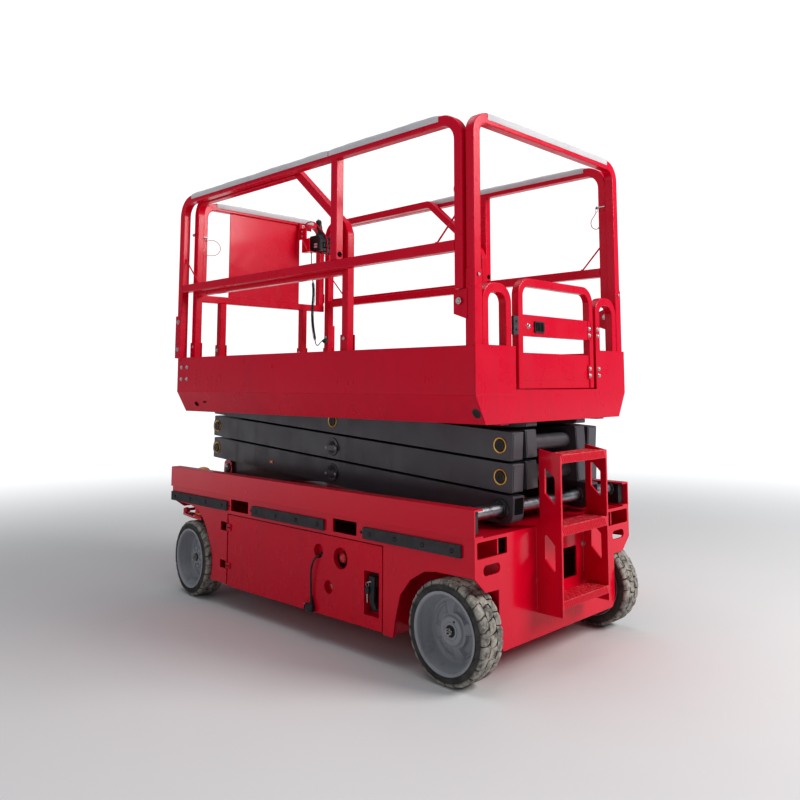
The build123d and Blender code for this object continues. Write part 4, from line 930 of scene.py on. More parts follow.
# cable gland in the upper hole
k.lathe([(15, 0), (15, 8), (12.5, 10), (12.5, 13), (10, 15), (6.6, 16.5), (5.0, 16.5)], (940, 555.2, 380), (0, 1, 0), m_black, 24)
# lock cylinder on the latch, key ring and hanging key
k.lathe([(10.5, 0), (10.5, 9), (9.3, 11), (6.4, 11), (6.4, 10), (0, 10)], (583, 562, 320), (0, 1, 0), m_zinc, 28)
k.tube([(583, 571, 320), (596, 577, 321), (606, 581, 318)], 2.2, m_zinc, seg=8)
ring = [(608 + 9 * math.cos(t * math.pi / 10), 582, 309 + 9 * math.sin(t * math.pi / 10)) for t in range(21)]
k.tube(ring, 1.1, m_zinc, seg=6, caps=False)
head = []
for t in range(24):
    th = 2 * math.pi * t / 24
    head.append((12.5 * math.cos(th) * (1 + 0.10 * math.cos(2 * th)), 16.5 * math.sin(th)))
k.prism(head, (609, 579, 285), (1, 0, 0), (0, 0, 1), -5.5, m_black, shrink=0.9, cut=-1.2)
blade = [(-3.4, 0), (3.4, 0), (3.4, -22), (2.2, -25), (3.2, -28), (2.0, -31), (3.0, -35), (0.0, -40), (-3.4, -36)]
k.prism(blade[::-1], (609, 580, 270), (1, 0, 0), (0, 0, 1), -2.0, m_zinc)
tray_switches = k.done("left_tray", "bright_steel", bevel=0.35)

# mushroom head of the stop button
k = Kit("stop_mushroom")
k.lathe([(13, 0), (13, 5), (20, 6.5), (22, 9), (22.2, 15.5), (20.8, 19.5), (17.5, 22.2), (12, 24.0), (6, 24.8), (0, 25.0)], (786, 551, 391),
        (0, 1, 0), m_stop, 48)
for q in range(3):
    th0 = q * 2.094 + 0.3
    pts = [(786 + 13.2 * math.cos(th0 + t * 0.12), 575.3 - 0.1, 391 + 13.2 * math.sin(th0 + t * 0.12)) for t in range(8)]
    k.tube(pts, 0.9, m_stop, seg=6)
stop_mushroom = k.done("left_tray", "signal_red")
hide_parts("estop_button")

# charger plug: ribbed strain relief, right-angled body, two blades
tip = Vector(charger_route[-1])
way = (tip - Vector(charger_route[-2])).normalized()
k = Kit("plug_body")
prof = [(4.6, -6), (6.2, -4), (6.4, 0)]
for i in range(6):
    h = 2 + i * 5.0
    prof += [(6.5 + i * 0.42, h), (6.7 + i * 0.42, h + 3.0), (5.7 + i * 0.42, h + 3.4), (5.8 + i * 0.42, h + 4.6)]
prof += [(10, 33), (11.5, 38), (11.5, 46)]
k.lathe(prof, tip, way, m_black, 28)
foot = tip + way * 42
v, f = [], []
nu, nv = 28, 14
fwd = Vector((1, 0.05, 0.16)).normalized()
side_ = Vector((0, 1, 0))
side_ = (side_ - fwd * side_.dot(fwd)).normalized()
upv = fwd.cross(side_)
c0 = foot + Vector((12, 4, -8))
for j in range(nv + 1):
    ph = -math.pi / 2 + math.pi * j / nv
    for i in range(nu):
        th = 2 * math.pi * i / nu
        cx1 = math.copysign(abs(math.cos(th)) ** 0.62, math.cos(th)) * math.copysign(abs(math.cos(ph)) ** 0.5, math.cos(ph))
        cz1 = math.copysign(abs(math.sin(th)) ** 0.62, math.sin(th)) * math.copysign(abs(math.cos(ph)) ** 0.5, math.cos(ph))
        cy1 = math.copysign(abs(math.sin(ph)) ** 0.6, math.sin(ph))
        v.append(c0 + fwd * (27 * cx1) + upv * (17 * cz1 * (1 - 0.12 * cx1)) + side_ * (13 * cy1))
for j in range(nv):
    for i in range(nu):
        ii = (i + 1) % nu
        f.append((j * nu + i, j * nu + ii, (j + 1) * nu + ii, (j + 1) * nu + i))
k.add(v, f, m_black)
for dz in (-6.2, 6.2):
    p = c0 + fwd * 24 + upv * dz
    k.prism([(-1.6, -3.2), (1.6, -3.2), (1.6, 3.2), (-1.6, 3.2)], p, upv, side_, -17.0 if upv.cross(side_).dot(fwd) < 0 else 17.0, m_zinc)
k.lathe([(14.5, 0), (14.5, 3), (13, 4.2), (0, 4.2)], c0 + fwd * 22.4, fwd, m_black, 28)
plug = k.done("left_tray", "black_plastic", bevel=0.3)
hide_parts("charger_plug")

# ------------------------------------------------------------------
# scissor arms: bushes, pins, end plates, weld beads
# ------------------------------------------------------------------
PR = 2241.0 - 2168.9 * math.cos(math.asin((389.0 / 3) / 2168.9))
PF, L0, ST = 2241.0, 655.0, 389.0 / 3
PM = (PR + PF) / 2
tilt = math.asin(ST / 2168.9)


def bush(k, x, z, s, y=325.0, r_in=26.0, face=330.0):
    k.lathe([(r_in, -1), (33.5, -1), (33.5, 2.4), (32.2, 3.8), (27.6, 3.8), (r_in, 2.6)], (x, s * y, z), (0, s, 0), m_brass, 48, closed=True)
    k.lathe([(25.2, 0), (25.2, 1.2), (23.0, 3.0), (19.0, 3.0), (18.2, 2.2), (7.0, 2.2), (5.5, 0.8), (0, 0.8)], (x, s * face, z), (0, s, 0),
            m_pin, 40)


for n in (1, 2, 3):
    front_z, rear_z, mid_z = L0 + n * ST, L0 + (n - 1) * ST, L0 + (n - 0.5) * ST
    k = Kit("outer_%d_pins" % n)
    for s in (-1, 1):
        if n == 1:
            k.prism([(-13, -7), (13, -7), (13, 7), (-13, 7)], (1680, s * 325, 737), (1, 0, 0), (0, 0, 1), -4.0 * s, m_tan)
        if n < 3:
            bush(k, PF, front_z, s)
        if n > 1:
            bush(k, PR, rear_z, s)
        if n == 3:
            bush(k, PM, mid_z, s)
        else:
            # centre pin: round boss with a keeper plate and two bright bolts
            k.lathe([(46, -1), (46, 3.2), (44.5, 4.6), (30, 4.6), (28, 3.4), (25.4, 3.4)], (PM, s * 325, mid_z), (0, s, 0), m_arm, 48)
            k.lathe([(25.2, 0), (25.2, 1.6), (22.6, 3.4), (0, 3.4)], (PM, s * 330, mid_z), (0, s, 0), m_pin, 40)
            k.prism([(-47, -9), (-40, -13), (40, -13), (47, -9), (47, 9), (40, 13), (-40, 13), (-47, 9)], (PM, s * 333.2, mid_z - 6),
                    (1, 0, 0), (0, 0, 1), -3.0 * s, m_arm)
            for dx in (-37, 37):
                k.domebolt((PM + dx, s * 336.2, mid_z - 6), (0, s, 0), 6.4, 4.0, m_zinc)
    o = k.done("outer_%d" % n, "bright_steel")

    # end plates with rubbed rims and weld beads, on both ends of the arms
    for kind, sign, y0, y1 in (("outer", 1, 250, 325), ("inner", -1, 152, 229)):
        k = Kit("%s_%d_ends" % (kind, n))
        ux = Vector((math.cos(tilt), 0, sign * math.sin(tilt)))
        uz = Vector((-sign * math.sin(tilt), 0, math.cos(tilt)))
        centre = Vector((PM, 0, mid_z))
        for end, reach in ((-1, 2168.9 / 2 + 62.0), (1, 2168.9 / 2 + 35.0)):
            level_low = (sign > 0) == (end < 0)
            soft_low = n == 1 and level_low
            soft_high = n == 3 and not level_low
            cut = 40 if end < 0 else 30
            lo = -59 + (cut if soft_low else 7)
            hi = 59 - (cut if soft_high else 7)
            for s in (-1, 1):
                ya, yb = sorted((s * (y0 + 6), s * (y1 - 6)))
                face = centre + ux * (end * (reach + 0.2))
                open_end = kind == "outer" and n == 1 and end < 0
                # raised flat of the end plate; on the open one, a near-black flat paints the shade inside its mouth
                corners = [(ya, lo), (yb, lo), (yb, hi), (ya, hi)]
                pts = []
                rad = 7.0
                for (cy_, cz_), (sy_, sz_) in zip(corners, ((1, 1), (-1, 1), (-1, -1), (1, -1))):
                    for q in range(5):
                        ang = {(1, 1): math.pi, (-1, 1): 1.5 * math.pi, (-1, -1): 0.0, (1, -1): 0.5 * math.pi}[(sy_, sz_)] + q * math.pi / 8
                        pts.append((cy_ + sy_ * rad + rad * math.cos(ang), cz_ + sz_ * rad + rad * math.sin(ang)))
                depth = (1.2 if open_end else 2.4) * end
                k.prism(pts, face, (0, 1, 0), uz, depth * (1 if Vector((0, 1, 0)).cross(uz).dot(ux) > 0 else -1),
                        m_black_and_hole_shade if open_end else m_arm)
                loop = [face + Vector((0, 1, 0)) * a + uz * b for a, b in pts]
                k.tube(loop + loop[:1], 2.6 if open_end else 1.7, m_edge, seg=6, caps=False)
        # flat strips welded along the top and bottom faces
        for s in (-1, 1):
            ym = s * (y0 + y1) / 2
            for zz in (59.0, -59.0):
                a = centre + ux * -980 + uz * zz + Vector((0, ym, 0))
                b = centre + ux * 980 + uz * zz + Vector((0, ym, 0))
                for off in (-1, 1):
                    e = Vector((0, off * ((y1 - y0) / 2 - 4.5), 0))
                    k.tube([a + e, b + e], 1.1, m_arm, seg=6)
        o = k.done("%s_%d" % (kind, n), "charcoal_paint")

# collars on the lower slider shaft, where it leaves the outer arms
k = Kit("shaft_collars")
for s in (-1, 1):
    k.lathe([(27.2, 0), (44, 0), (44, 7), (41, 10), (34, 11), (33, 16), (27.2, 16)], (PR, s * 325.5, L0), (0, s, 0), m_pin, 40, closed=True)
    k.lathe([(27.2, 0), (38, 0), (38, 6), (36, 8), (27.2, 8)], (PR, s * 249.5, L0), (0, -s, 0), m_pin, 40, closed=True)
    k.lathe([(27.2, 0), (33, 0), (33, 5), (27.2, 5)], (PR, s * 526, L0), (0, -s, 0), m_pin, 36, closed=True)
k.done("outer_1", "bright_steel")
# collars on the upper shaft
k = Kit("upper_collars")
for s in (-1, 1):
    k.lathe([(27.2, 0), (40, 0), (40, 6), (37, 9), (27.2, 9)], (PR, s * 229.5, L0 + 3 * ST), (0, s, 0), m_pin, 36, closed=True)
k.done("inner_3", "bright_steel")

# slide block screws, drawn as near-black discs that paint the shade of their sockets
k = Kit("lower_block_screws")
for s in (-1, 1):
    for dx in (-36, 36):
        for dz in (-28, 28):
            k.lathe([(5, -0.2), (5, 0.2), (3.2, 0.4), (0, 0.4)], (PR + dx, s * 534, 632.5 + dz), (0, -s, 0), m_black_and_hole_shade, 14)
k.done("lower_slider", "black_plastic")

# ------------------------------------------------------------------
# lift cylinder: gland, rod wiper, hose fittings
# ------------------------------------------------------------------
t = tilt
foot = Vector((PF - 1950.0 * math.cos(t), 0, L0 + 1950.0 * math.sin(t)))
eye = Vector((PF - 219 * math.cos(t) - 33 * math.sin(t), 0, L0 + 2 * ST + 219 * math.sin(t) - 33 * math.cos(t)))
ram = (eye - foot).normalized()
k = Kit("cylinder_gland")
k.lathe([(50.4, 0), (53.5, 3), (53.5, 42), (51, 46), (34, 46), (34, 50), (28.4, 50)], foot + ram * 1545, ram, m_arm, 48)
k.lathe([(50.4, 0), (52.2, 2), (52.2, 12), (50.4, 14)], foot + ram * 96, ram, m_arm, 48)
side_n = Vector((0, 0, 1)) - ram * ram.z
side_n.normalize()
for at_ in (150, 1500):
    p = foot + ram * at_ + side_n * 49
    k.lathe([(12, 0), (12, 9), (9, 11), (9, 20), (0, 20)], p, side_n, m_zinc, 18)
k.tube([foot + ram * 150 + side_n * 66, foot + ram * 190 + side_n * 70, foot + ram * 400 + side_n * 62, foot + ram * 900 + side_n * 60,
        foot + ram * 1440 + side_n * 62, foot + ram * 1500 + side_n * 67], 5.5, m_cord, seg=10)
k.done("ram_barrel", "charcoal_paint")

# ------------------------------------------------------------------
# platform: floor plate pattern, skirts, corner plates
# ------------------------------------------------------------------
def floor_pattern(name, x0, x1, y0, y1, z, body, pitch=25.0):
    k = Kit(name)
    i = 0
    x = x0
    while x <= x1:
        j = 0
        y = y0
        while y <= y1:
            d = (1, 1, 0) if (i + j) % 2 else (1, -1, 0)
            k.lozenge((x, y, z), d, (0, 0, 1), 11.0, 3.2, 1.5, m_platform_red_painted_darker)
            y += pitch
            j += 1
        x += pitch
        i += 1
    return k.done(body, "red_paint", smooth=20)


floor_pattern("floor_plate_rear", 60, 785, -530, 530, 1137, "platform")
floor_pattern("floor_plate_front", 815, 2245, -508, 508, 1157, "extension")

k = Kit("skirt_details")
down = Vector((0, 116, -62)).normalized()
for s in (-1, 1):
    for x in (2177, 2239):
        for z in (1196, 1264):
            k.hexbolt((x, s * 576, z), (0, s, 0), 8.5, 6.0, m_zinc)
    nrm = Vector((0, s * down.y, down.z))

    def on_slant(x, z):
        return Vector((x, s * (514 + (z - 1008) * 62 / 116.0), z))

    # oval hole and slot in the folded lower edge, drawn as near-black flats that paint the shade inside them, and a
    # round plug
    along = Vector((1, 0, 0))
    up2 = nrm.cross(along)
    if up2.z < 0:
        up2 = -up2
    for x, z, a_, b_, m_ in ((2125, 1053, 19, 15, m_black_and_hole_shade), (2027, 1066, 20, 6, m_black_and_hole_shade)):
        pts = [(a_ * math.cos(q * math.pi / 16), b_ * math.sin(q * math.pi / 16)) for q in range(32)]
        flip = 1 if along.cross(up2).dot(nrm) > 0 else -1
        k.prism(pts, on_slant(x, z) - nrm * 0.2, along, up2, 0.7 * flip, m_)
        rimp = [on_slant(x, z) + nrm * 0.4 + along * (p[0] * 1.04) + up2 * (p[1] * 1.05) for p in pts]
        k.tube(rimp + rimp[:1], 1.1, m_platform_red_painted_darker, seg=6, caps=False)
    k.lathe([(21, -0.5), (21, 1.0), (19, 2.4), (14, 3.0), (0, 2.6)], on_slant(24, 1053), nrm, m_pin, 32)
    # welds of the front post's foot, seen at the skirt's top
    k.weld((2250, s * 578, 1319.5), (2298, s * 578, 1319.5), 2.0, m_platform_red_painted_darker)
    k.weld((2300.5, s * 560, 1322), (2300.5, s * 588, 1322), 1.8, m_platform_red_painted_darker)
    # sharp folds where the skirt and the rear apron turn
    k.tube([(4, s * 575.2, 1124), (2285, s * 575.2, 1124)], 1.9, m_platform_red_painted_darker, seg=8)
    k.tube([(-3.4, s * 322, 1126), (-3.4, s * 574, 1126)], 1.9, m_platform_red_painted_darker, seg=8)
    # folded inner edge along the skirt's top
    k.tube([(6, s * 573, 1319), (2240, s * 573, 1319)], 3.0, m_platform_red_painted_darker, seg=10)
k.done("platform", "bright_steel")

k = Kit("rear_plate_fasteners")
for z in (1237, 1205):
    k.domebolt((-4, -337, z), (-1, 0, 0), 8.0, 5.5, m_zinc)
for z in (1424, 1394):
    k.domebolt((4, -346, z), (-1, 0, 0), 8.0, 5.5, m_zinc)
for s in (-1, 1):
    k.hexbolt((5, s * 545, 1605), (-1, 0, 0), 8.0, 6.0, m_zinc)
    k.hexbolt((76, s * 583, 1500), (0, s, 0), 10, 7, m_zinc)
    k.hexbolt((76, s * 536, 1500), (0, -s, 0), 10, 7, m_zinc)
    k.hexbolt((2272.5, s * 589, 1532), (0, s, 0), 10, 7, m_zinc)
    k.hexbolt((2272.5, s * 589, 1370), (0, s, 0), 9, 6, m_zinc)
    # black plug at the foot of the middle post
    k.lathe([(13, 0), (13, 1.6), (11, 3), (0, 3)], (837.5, s * 560, 1778), (-1, 0, 0), m_black_and_hole_shade, 24)
    for y in (s * 500, s * 348):
        for dy in (-20.5, 20.5):
            k.weld((6, y + dy, 1143.5), (42, y + dy, 1143.5), 2.0, m_rail)
    k.weld((2, s * 345, 1319), (2, s * 345, 1160), 1.8, m_rail)
# rubber buffer where the gate closes
k.box((2, 284, 1374), (14, 318, 1452), m_rubber)
k.domebolt((2, 300, 1395), (-1, 0, 0), 4, 2.5, m_pin)
k.domebolt((2, 300, 1431), (-1, 0, 0), 4, 2.5, m_pin)
rear_plate_fasteners = k.done("platform", "bright_steel", bevel=0.5)

# thin corner braces of the side rails
k = Kit("rail_braces")
for s in (-1, 1):
    for a_, b_ in (((2250, 560, 1903), (2098, 560, 1751)), ((98.4, 560, 1868), (214, 560, 1751))):
        a_, b_ = Vector((a_[0], s * a_[1], a_[2])), Vector((b_[0], s * b_[1], b_[2]))
        d = (b_ - a_).normalized()
        k.tube([a_ - d * 1.0, a_.lerp(b_, 0.5), b_ + d * 1.0], 4.0, m_rail, seg=12)
        for p in (a_, b_):
            k.lathe([(9, -3), (9, 3), (7, 5), (0, 5)], p, d if p is a_ else -d, m_rail, 16)
    # weld seams of the mid rail and the mid post
    y = s * 560
    for x in (98.8, 2249.6):
        for dy in (-22, 22):
            k.weld((x, y + dy, 1708), (x, y + dy, 1750), 2.0, m_rail)
    for x in (837.8, 882.2):
        k.weld((x, y - 20, 1752), (x, y + 20, 1752), 2.0, m_rail)
        k.weld((x, y - 20, 2239.6), (x, y + 20, 2239.6), 2.0, m_rail)
rail_braces = k.done("platform", "red_paint")


# foam grips: slightly uneven sleeves over the top rails
def foam_grip(k, frame_fn, x0, x1, half, top, lay, seed):
    g_ = random.Random(seed)
    outline = []
    h = half
    for a_, b_ in ((-lay - 0.4, -24), (-h + 2, -25.5), (-h, -21), (-h - 0.4, -8), (-h + 1.5, 1.0), (-h + 6, 6.2), (-h * 0.55, 8.6), (0, 9.4),
                   (h * 0.55, 8.6), (h - 6, 6.2), (h - 1.5, 1.0), (h + 0.4, -8), (h, -21), (h - 2, -25.5), (lay + 0.4, -24), (lay + 0.4, 0.6),
                   (-lay - 0.4, 0.6)):
        outline.append((a_, b_))
    n = max(6, int((x1 - x0) / 26))
    ph = [g_.uniform(0, 6.28) for _ in range(6)]
    v, f = [], []
    m = len(outline)
    for i in range(n + 1):
        x = x0 + (x1 - x0) * i / n
        end = min(i, n - i)
        taper = (0.90, 0.975, 1.0)[min(end, 2)]
        for a_, b_ in outline:
            wob = 1 + 0.018 * math.sin(x * 0.013 + ph[0]) + 0.012 * math.sin(x * 0.041 + ph[1] + a_ * 0.05)
            out = abs(a_) > lay + 1 or b_ > 1
            aa = a_ * (wob * taper if out else 1.0)
            bb = b_ + (1.0 * math.sin(x * 0.017 + ph[2]) + 0.6 * math.sin(x * 0.06 + ph[3]) - (1 - taper) * 20 if b_ > 1 else 0.0)
            v.append(frame_fn(x, aa, top + bb))
    for i in range(n):
        for j in range(m):
            jj = (j + 1) % m
            f.append((i * m + j, i * m + jj, (i + 1) * m + jj, (i + 1) * m + j))
    f.append(tuple(range(m))[::-1])
    f.append(tuple(n * m + j for j in range(m)))
    k.add(v, f, m_foam)


k = Kit("side_grips")
for s in (-1, 1):
    def side_fn(x, a_, z_, s=s):
        return (x, s * 560 + a_ * s, z_)
    foam_grip(k, side_fn, 181, 897, 29.5, 2285, 22.5, 3 + s)
    foam_grip(k, side_fn, 903, 2169, 29.5, 2285, 22.5, 9 + s)
foam_grip(k, lambda x, a_, z_: (27.5 + a_, x, z_), -473, 473, 26, 2281, 22.5, 21)
grips = k.done("platform", "grip_foam", smooth=60)
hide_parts("rail_grips")
k = Kit("front_grip_foam")
foam_grip(k, lambda x, a_, z_: (2248 + a_, x, z_), -377, 377, 28, 2273, 21, 33)
front_grip = k.done("extension", "grip_foam", smooth=60)
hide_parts("front_grip")

# ------------------------------------------------------------------
# gate: latch housing, bolts, crease
# ------------------------------------------------------------------
k = Kit("gate_details")
k.box((-2.5, 101, 1388), (4, 171, 1436), m_black)
# near-black plate paints the shade inside the latch housing's opening
k.box((-4.0, 107, 1394), (-2.5, 165, 1430), m_black_and_hole_shade)
for y in (112, 136, 160):
    k.box((-4.6, y - 1.5, 1396), (-3.9, y + 1.5, 1428), m_black)
k.domebolt((4, 214, 1414), (-1, 0, 0), 9.0, 8.0, m_zinc)
for z in (1424, 1394):
    k.domebolt((2, -268, z), (-1, 0, 0), 8.0, 5.5, m_zinc)
for z in (1237, 1205):
    k.domebolt((2, -268 + 0, z), (-1, 0, 0), 8.0, 5.5, m_zinc)
k.box((2, -284, 1372), (4.2, -256, 1462), m_rail)
k.box((2, -284, 1190), (8.2, -256, 1252), m_rail)
# crease of the folded lower panel
k.tube([(7.6, -262, 1186), (7.6, 244, 1186)], 1.6, m_rail, seg=8)
for y in (-269, 250):
    k.weld((5, y, 1374), (5, y, 1460), 1.8, m_rail)
    k.weld((9, y, 1152), (9, y, 1298), 1.8, m_rail)
gate_details = k.done("gate", "black_plastic", bevel=0.6)
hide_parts("gate_latch")

# ------------------------------------------------------------------
# extension: rail fasteners, lock pins with their wire lanyards
# ------------------------------------------------------------------
k = Kit("extension_fasteners")
k.hexbolt((2208, 524, 1385), (0, 1, 0), 9, 6, m_zinc)
k.hexbolt((2208, -482, 1480), (0, 1, 0), 9, 6, m_zinc)
k.hexbolt((2208, -524, 1480), (0, -1, 0), 9, 6, m_zinc)
for s in (-1, 1):
    k.hexbolt((841, s * 524, 1381), (0, s, 0), 9, 6, m_zinc)
    # foot brackets of the inner rails
    for x, top in ((2208, 1410), (841, 1400)):
        for side_y in (s * 481.5, s * 524.5):
            y0_, y1_ = sorted((side_y - 2.5, side_y + 2.5))
            k.box((x - 26, y0_, 1158), (x + 26, y1_, top), m_rail)
    # socket of the front frame's lower posts
    k.box((2224, s * 311 - 26, 1325), (2272, s * 311 - 21, 1404), m_rail)
    k.box((2224, s * 311 + 21, 1325), (2272, s * 311 + 26, 1404), m_rail)
    k.hexbolt((2248, s * 311 + 26, 1372), (0, 1, 0), 8, 6, m_zinc)
# lock pin, left front, with its split ring and hook
k.tube([(2222, 529, 2056), (2222, 440, 2052)], 5.2, m_zinc, seg=14)
k.lathe([(9, 0), (9, 5), (7, 7), (0, 7)], (2222, 529, 2056), (0, 1, 0), m_zinc, 20)
ring = [(2222 + 3, 446 + 13 * math.sin(t_ * math.pi / 12) * 0.5, 2042 + 13 * math.cos(t_ * math.pi / 12)) for t_ in range(25)]
k.tube(ring, 1.5, m_zinc, seg=6, caps=False)
k.tube([(2206, 470, 1978), (2200, 474, 1974), (2199, 478, 1962), (2203, 480, 1951)], 3.0, m_zinc, seg=10)
k.box((2199, 466, 1970), (2229, 480, 1984), m_rail)
extension_fasteners = k.done("extension", "bright_steel", bevel=0.5)


def lanyard(name, pts, body, r=0.0019, mat=None):
    o = nurbs(name, pts, r, 12)
    o.data.materials.append(mat or m_blank)
    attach(o, body)
    got = measure(points_of(pts, 24))
    return o


lanyard("lanyard_front_left", [(2224, 446, 2030), (2222, 428, 2040), (2216, 396, 2042), (2208, 366, 2022), (2204, 356, 1992),
                               (2202, 370, 1962), (2202, 400, 1945), (2202, 440, 1940), (2203, 466, 1944), (2203, 480, 1951)], "extension")
k = Kit("rear_lock_pins")
for s in (-1, 1):
    y = s * 537
    k.tube([(104, y, 2064), (58, y, 2064)], 4.6, m_zinc, seg=12)
    k.box((62, y - s * 1, 2044), (92, y + s * 4, 2084), m_rail)
    k.lathe([(8, 0), (8, 4), (6, 6), (0, 6)], (104, y, 2064), (1, 0, 0), m_zinc, 18)
    ring = [(109, y + 11 * math.sin(t_ * math.pi / 12), 2054 + 11 * math.cos(t_ * math.pi / 12)) for t_ in range(25)]
    k.tube(ring, 1.4, m_zinc, seg=6, caps=False)
    k.lathe([(5, 0), (5, 6), (0, 6)], (98.5, s * 548, 1962), (1, 0, 0), m_zinc, 14)
k.done("platform", "bright_steel", bevel=0.4)
for s, nm in ((1, "rear_left"), (-1, "rear_right")):
    y = s * 537
    lanyard("lanyard_" + nm, [(110, y, 2043), (114, y - s * 6, 2026), (128, y - s * 10, 2010), (140, y - s * 6, 1990), (138, y, 1968),
                              (124, y + s * 7, 1956), (110, y + s * 10, 1956), (104, y + s * 11, 1961)], "platform")

# ------------------------------------------------------------------
# control box: case, label, boot, stick, guard and bracket trim
# ------------------------------------------------------------------
k = Kit("control_case")
prof = [(2052, 2046), (2162, 2046), (2162, 2146), (2155, 2152), (2076, 2152), (2062, 2138), (2052, 2116)]


def slab(k, prof, y0, y1, mat):
    k.prism([(p[0], p[1]) for p in prof], (0, y1, 0), (1, 0, 0), (0, 0, 1), (y1 - y0), mat)


slab(k, prof, -435, -297, m_black)
slab(k, [(2050, 2040.5), (2140, 2040.5), (2140, 2050), (2050, 2050)], -441, -345.5, m_black)
# end panels, slightly proud, with screws
for y0_, y1_ in ((-440, -435), (-297, -292)):
    slab(k, [(2057, 2052), (2157, 2052), (2157, 2142), (2150, 2147), (2080, 2147), (2066, 2133), (2057, 2114)], y0_, y1_, m_black)
for x, z in ((2064, 2060), (2150, 2060), (2148, 2138), (2084, 2138)):
    k.domebolt((x, -292, z), (0, 1, 0), 3.0, 1.8, m_pin)
# blank two-part label on the end panel
k.prism([(-21, -19), (21, -19), (21, 19), (-21, 19)], (2092, -291.8, 2082), (-1, 0, 0), (0, 0, 1), 1.0, m_black)
k.prism([(-17, -15), (17, -15), (17, -2), (-17, -2)], (2092, -291.0, 2082), (-1, 0, 0), (0, 0, 1), 1.0, m_label)
k.prism([(-17, 2), (17, 2), (17, 15), (-17, 15)], (2092, -291.0, 2082), (-1, 0, 0), (0, 0, 1), 1.0, m_label)
# switches and a dial on the rear face
for y in (-418, -396):
    k.lathe([(7, 0), (7, 3), (5.5, 4), (5.5, 11), (4, 12), (0, 12)], (2052, y, 2085), (-1, 0, 0), m_pin, 18)
# near-black panel paints the shade of the recess behind the three rockers
k.box((2050.5, -384, 2066), (2052, -318, 2104), m_black_and_hole_shade)
for y in (-372, -351, -330):
    k.box((2047, y - 7, 2074), (2051, y + 7, 2096), m_pin)
# bellows boot and leaning stick
base = Vector((2110, -350, 2150))
tipv = Vector((2124, -338, 2262))
ax = (tipv - base).normalized()
k.lathe([(42, 0), (42, 4), (39, 7)], base, (0, 0, 1), m_black, 36)
prof = [(38, 2)]
for i in range(4):
    r_ = 36 - i * 4.6
    prof += [(r_, 6 + i * 7.5), (r_ - 0.6, 8.5 + i * 7.5), (r_ - 6.5, 11 + i * 7.5), (r_ - 6.2, 12.2 + i * 7.5)]
prof += [(15, 38), (13, 42)]
k.lathe(prof, base, (Vector((0, 0, 1)) * 0.6 + ax * 0.4).normalized(), m_black, 36)
s0 = base + ax * 34
k.lathe([(14, 0), (15, 4), (16.5, 12), (18.5, 26), (17.8, 42), (17.6, 56), (19.2, 64), (19.0, 72), (16.5, 78), (10, 82), (0, 83)], s0, ax,
        m_black, 32)
k.lathe([(5.5, 80), (5.5, 86), (4, 88), (0, 88)], s0, ax, m_pin, 16)
k.prism([(-5, -9), (5, -9), (6, 0), (5, 9), (-5, 9), (-6, 0)], s0 + ax * 60 + Vector((-18.6, 0, 0)), (0, 1, 0), (0, 0, 1), -4.0, m_pin)
control_case = k.done("extension", "black_plastic", bevel=0.8)
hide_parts("control_box")

k = Kit("control_guard")
# bent guard rod around the stick, with its small hanging eye
k.tube([(2222, -300, 2238), (2190, -296, 2250), (2150, -294, 2252), (2120, -300, 2244), (2098, -316, 2216), (2078, -338, 2180),
        (2064, -350, 2156), (2048, -356, 2120), (2046, -356, 2070), (2046, -356, 2034)], 4.0, m_rail, seg=12)
k.tube([(2046, -356, 2038), (2044, -350, 2018), (2042, -334, 2008), (2042, -318, 2014), (2044, -310, 2030), (2046, -306, 2044)], 2.4, m_rail,
       seg=10)
# upper bracket plate with its blank tag, folded arm and strut
k.box((2214, -350, 2200), (2219, -250, 2244), m_rail)
k.box((2212.8, -290, 2212), (2214, -270, 2234), m_white)
k.lathe([(5.5, 0), (5.5, 0.8), (0, 0.8)], (2212.6, -280, 2223), (-1, 0, 0), m_stop, 20)
k.tube([(2186, -254, 2128), (2128, -254, 2048)], 7.0, m_rail, seg=4)
for z in (2150, 2180):
    k.hexbolt((2190, -251, z), (0, 1, 0), 6, 4)
control_guard = k.done("extension", "red_paint", bevel=0.5)

k = Kit("socket_details")
k.lathe([(13, 0), (13, 4), (11, 6), (11, 10), (6, 14), (4.2, 14)], (2150, -302, 2052), (0, 0, -1), m_black, 24)
k.lathe([(11, 0), (11, 8), (9.5, 10), (6, 20), (4.4, 22)], (2200, -464, 1456), (0, 1, 0), m_black, 24)
k.hexbolt((2200, -470, 1480), (0, 1, 0), 7, 5)
k.done("extension", "black_plastic")

# ------------------------------------------------------------------
# floor, light
# ------------------------------------------------------------------
g = Graph("pale_floor")
col = g.mix(g.span(g.noise(0.9, 4, 0.5), 0.35, 0.7, 0.0, 0.5), (0.74, 0.742, 0.745), (0.71, 0.712, 0.715))
g.bump([(g.noise(60, 3, 0.5), 0.02, 0.001)])
m_floor = g.out(col, 0.75, spec=0.2)
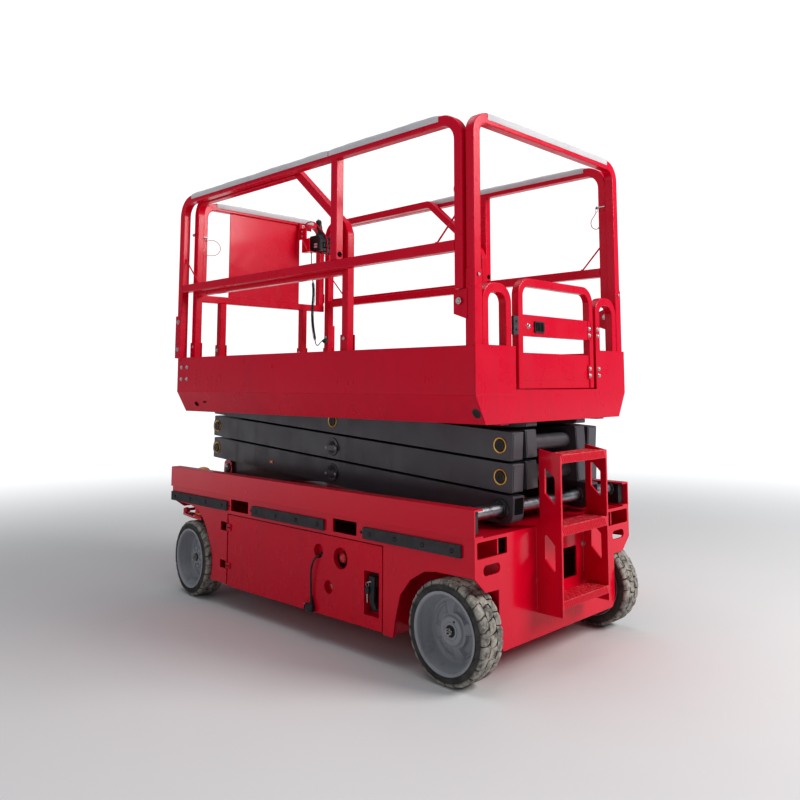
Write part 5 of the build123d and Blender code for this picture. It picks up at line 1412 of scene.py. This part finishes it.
# far from the machine the floor fades into the backdrop's own white
dist = g.node("ShaderNodeVectorMath", operation="LENGTH")
g.link(g.co, dist.inputs[0])
far = g.span(dist.outputs["Value"], 2.0, 8.0)
glow = g.node("ShaderNodeEmission")
BACKDROP = (0.905, 0.912, 0.925)
glow.inputs["Color"].default_value = (*BACKDROP, 1)
glow.inputs["Strength"].default_value = 1.0
blend = g.node("ShaderNodeMixShader")
g.link(far, blend.inputs[0])
g.link(g.b.outputs[0], blend.inputs[1])
g.link(glow.outputs[0], blend.inputs[2])
g.link(blend.outputs[0], g.t.nodes["Material Output"].inputs["Surface"])
me = bpy.data.meshes.new("floor")
seg = 96
me.from_pydata([(40 * math.cos(2 * math.pi * i / seg), 40 * math.sin(2 * math.pi * i / seg), 0) for i in range(seg)], [], [tuple(range(seg))])
me.materials.append(m_floor)
floor = bpy.data.objects.new("floor", me)
coll.objects.link(floor)

world = bpy.data.worlds.new("studio")
scene.world = world
world.use_nodes = True
wt = world.node_tree
bg = wt.nodes["Background"]
bg.inputs["Color"].default_value = (0.90, 0.94, 1.0, 1)
bg.inputs["Strength"].default_value = 0.21
seen = wt.nodes.new("ShaderNodeBackground")
seen.inputs["Color"].default_value = (*BACKDROP, 1)
seen.inputs["Strength"].default_value = 1.0
lp = wt.nodes.new("ShaderNodeLightPath")
wm = wt.nodes.new("ShaderNodeMixShader")
wt.links.new(lp.outputs["Is Camera Ray"], wm.inputs[0])
wt.links.new(bg.outputs[0], wm.inputs[1])
wt.links.new(seen.outputs[0], wm.inputs[2])
wt.links.new(wm.outputs[0], wt.nodes["World Output"].inputs["Surface"])


def area(name, loc, target, size, power, color=(1, 1, 1)):
    d = bpy.data.lights.new(name, "AREA")
    d.shape = "RECTANGLE"
    d.size, d.size_y = size
    d.energy = power
    d.color = color
    o = bpy.data.objects.new(name, d)
    coll.objects.link(o)
    o.location = loc
    o.rotation_euler = (Vector(target) - Vector(loc)).to_track_quat("-Z", "Y").to_euler()
    return o


area("key_rear", (-5.5, -2.4, 4.2), (-0.6, 0.0, 1.1), (3.2, 2.6), 300, (1.0, 0.985, 0.965))
area("top_soft", (0.5, 0.5, 6.5), (0, 0, 0.8), (6.0, 5.0), 130)
area("fill_left", (0.8, 7.5, 2.8), (0, 0, 1.0), (6.0, 3.5), 48, (0.94, 0.96, 1.0))
scene.view_settings.view_transform = "Standard"
scene.view_settings.look = "Medium High Contrast"

bpy.context.view_layer.update()
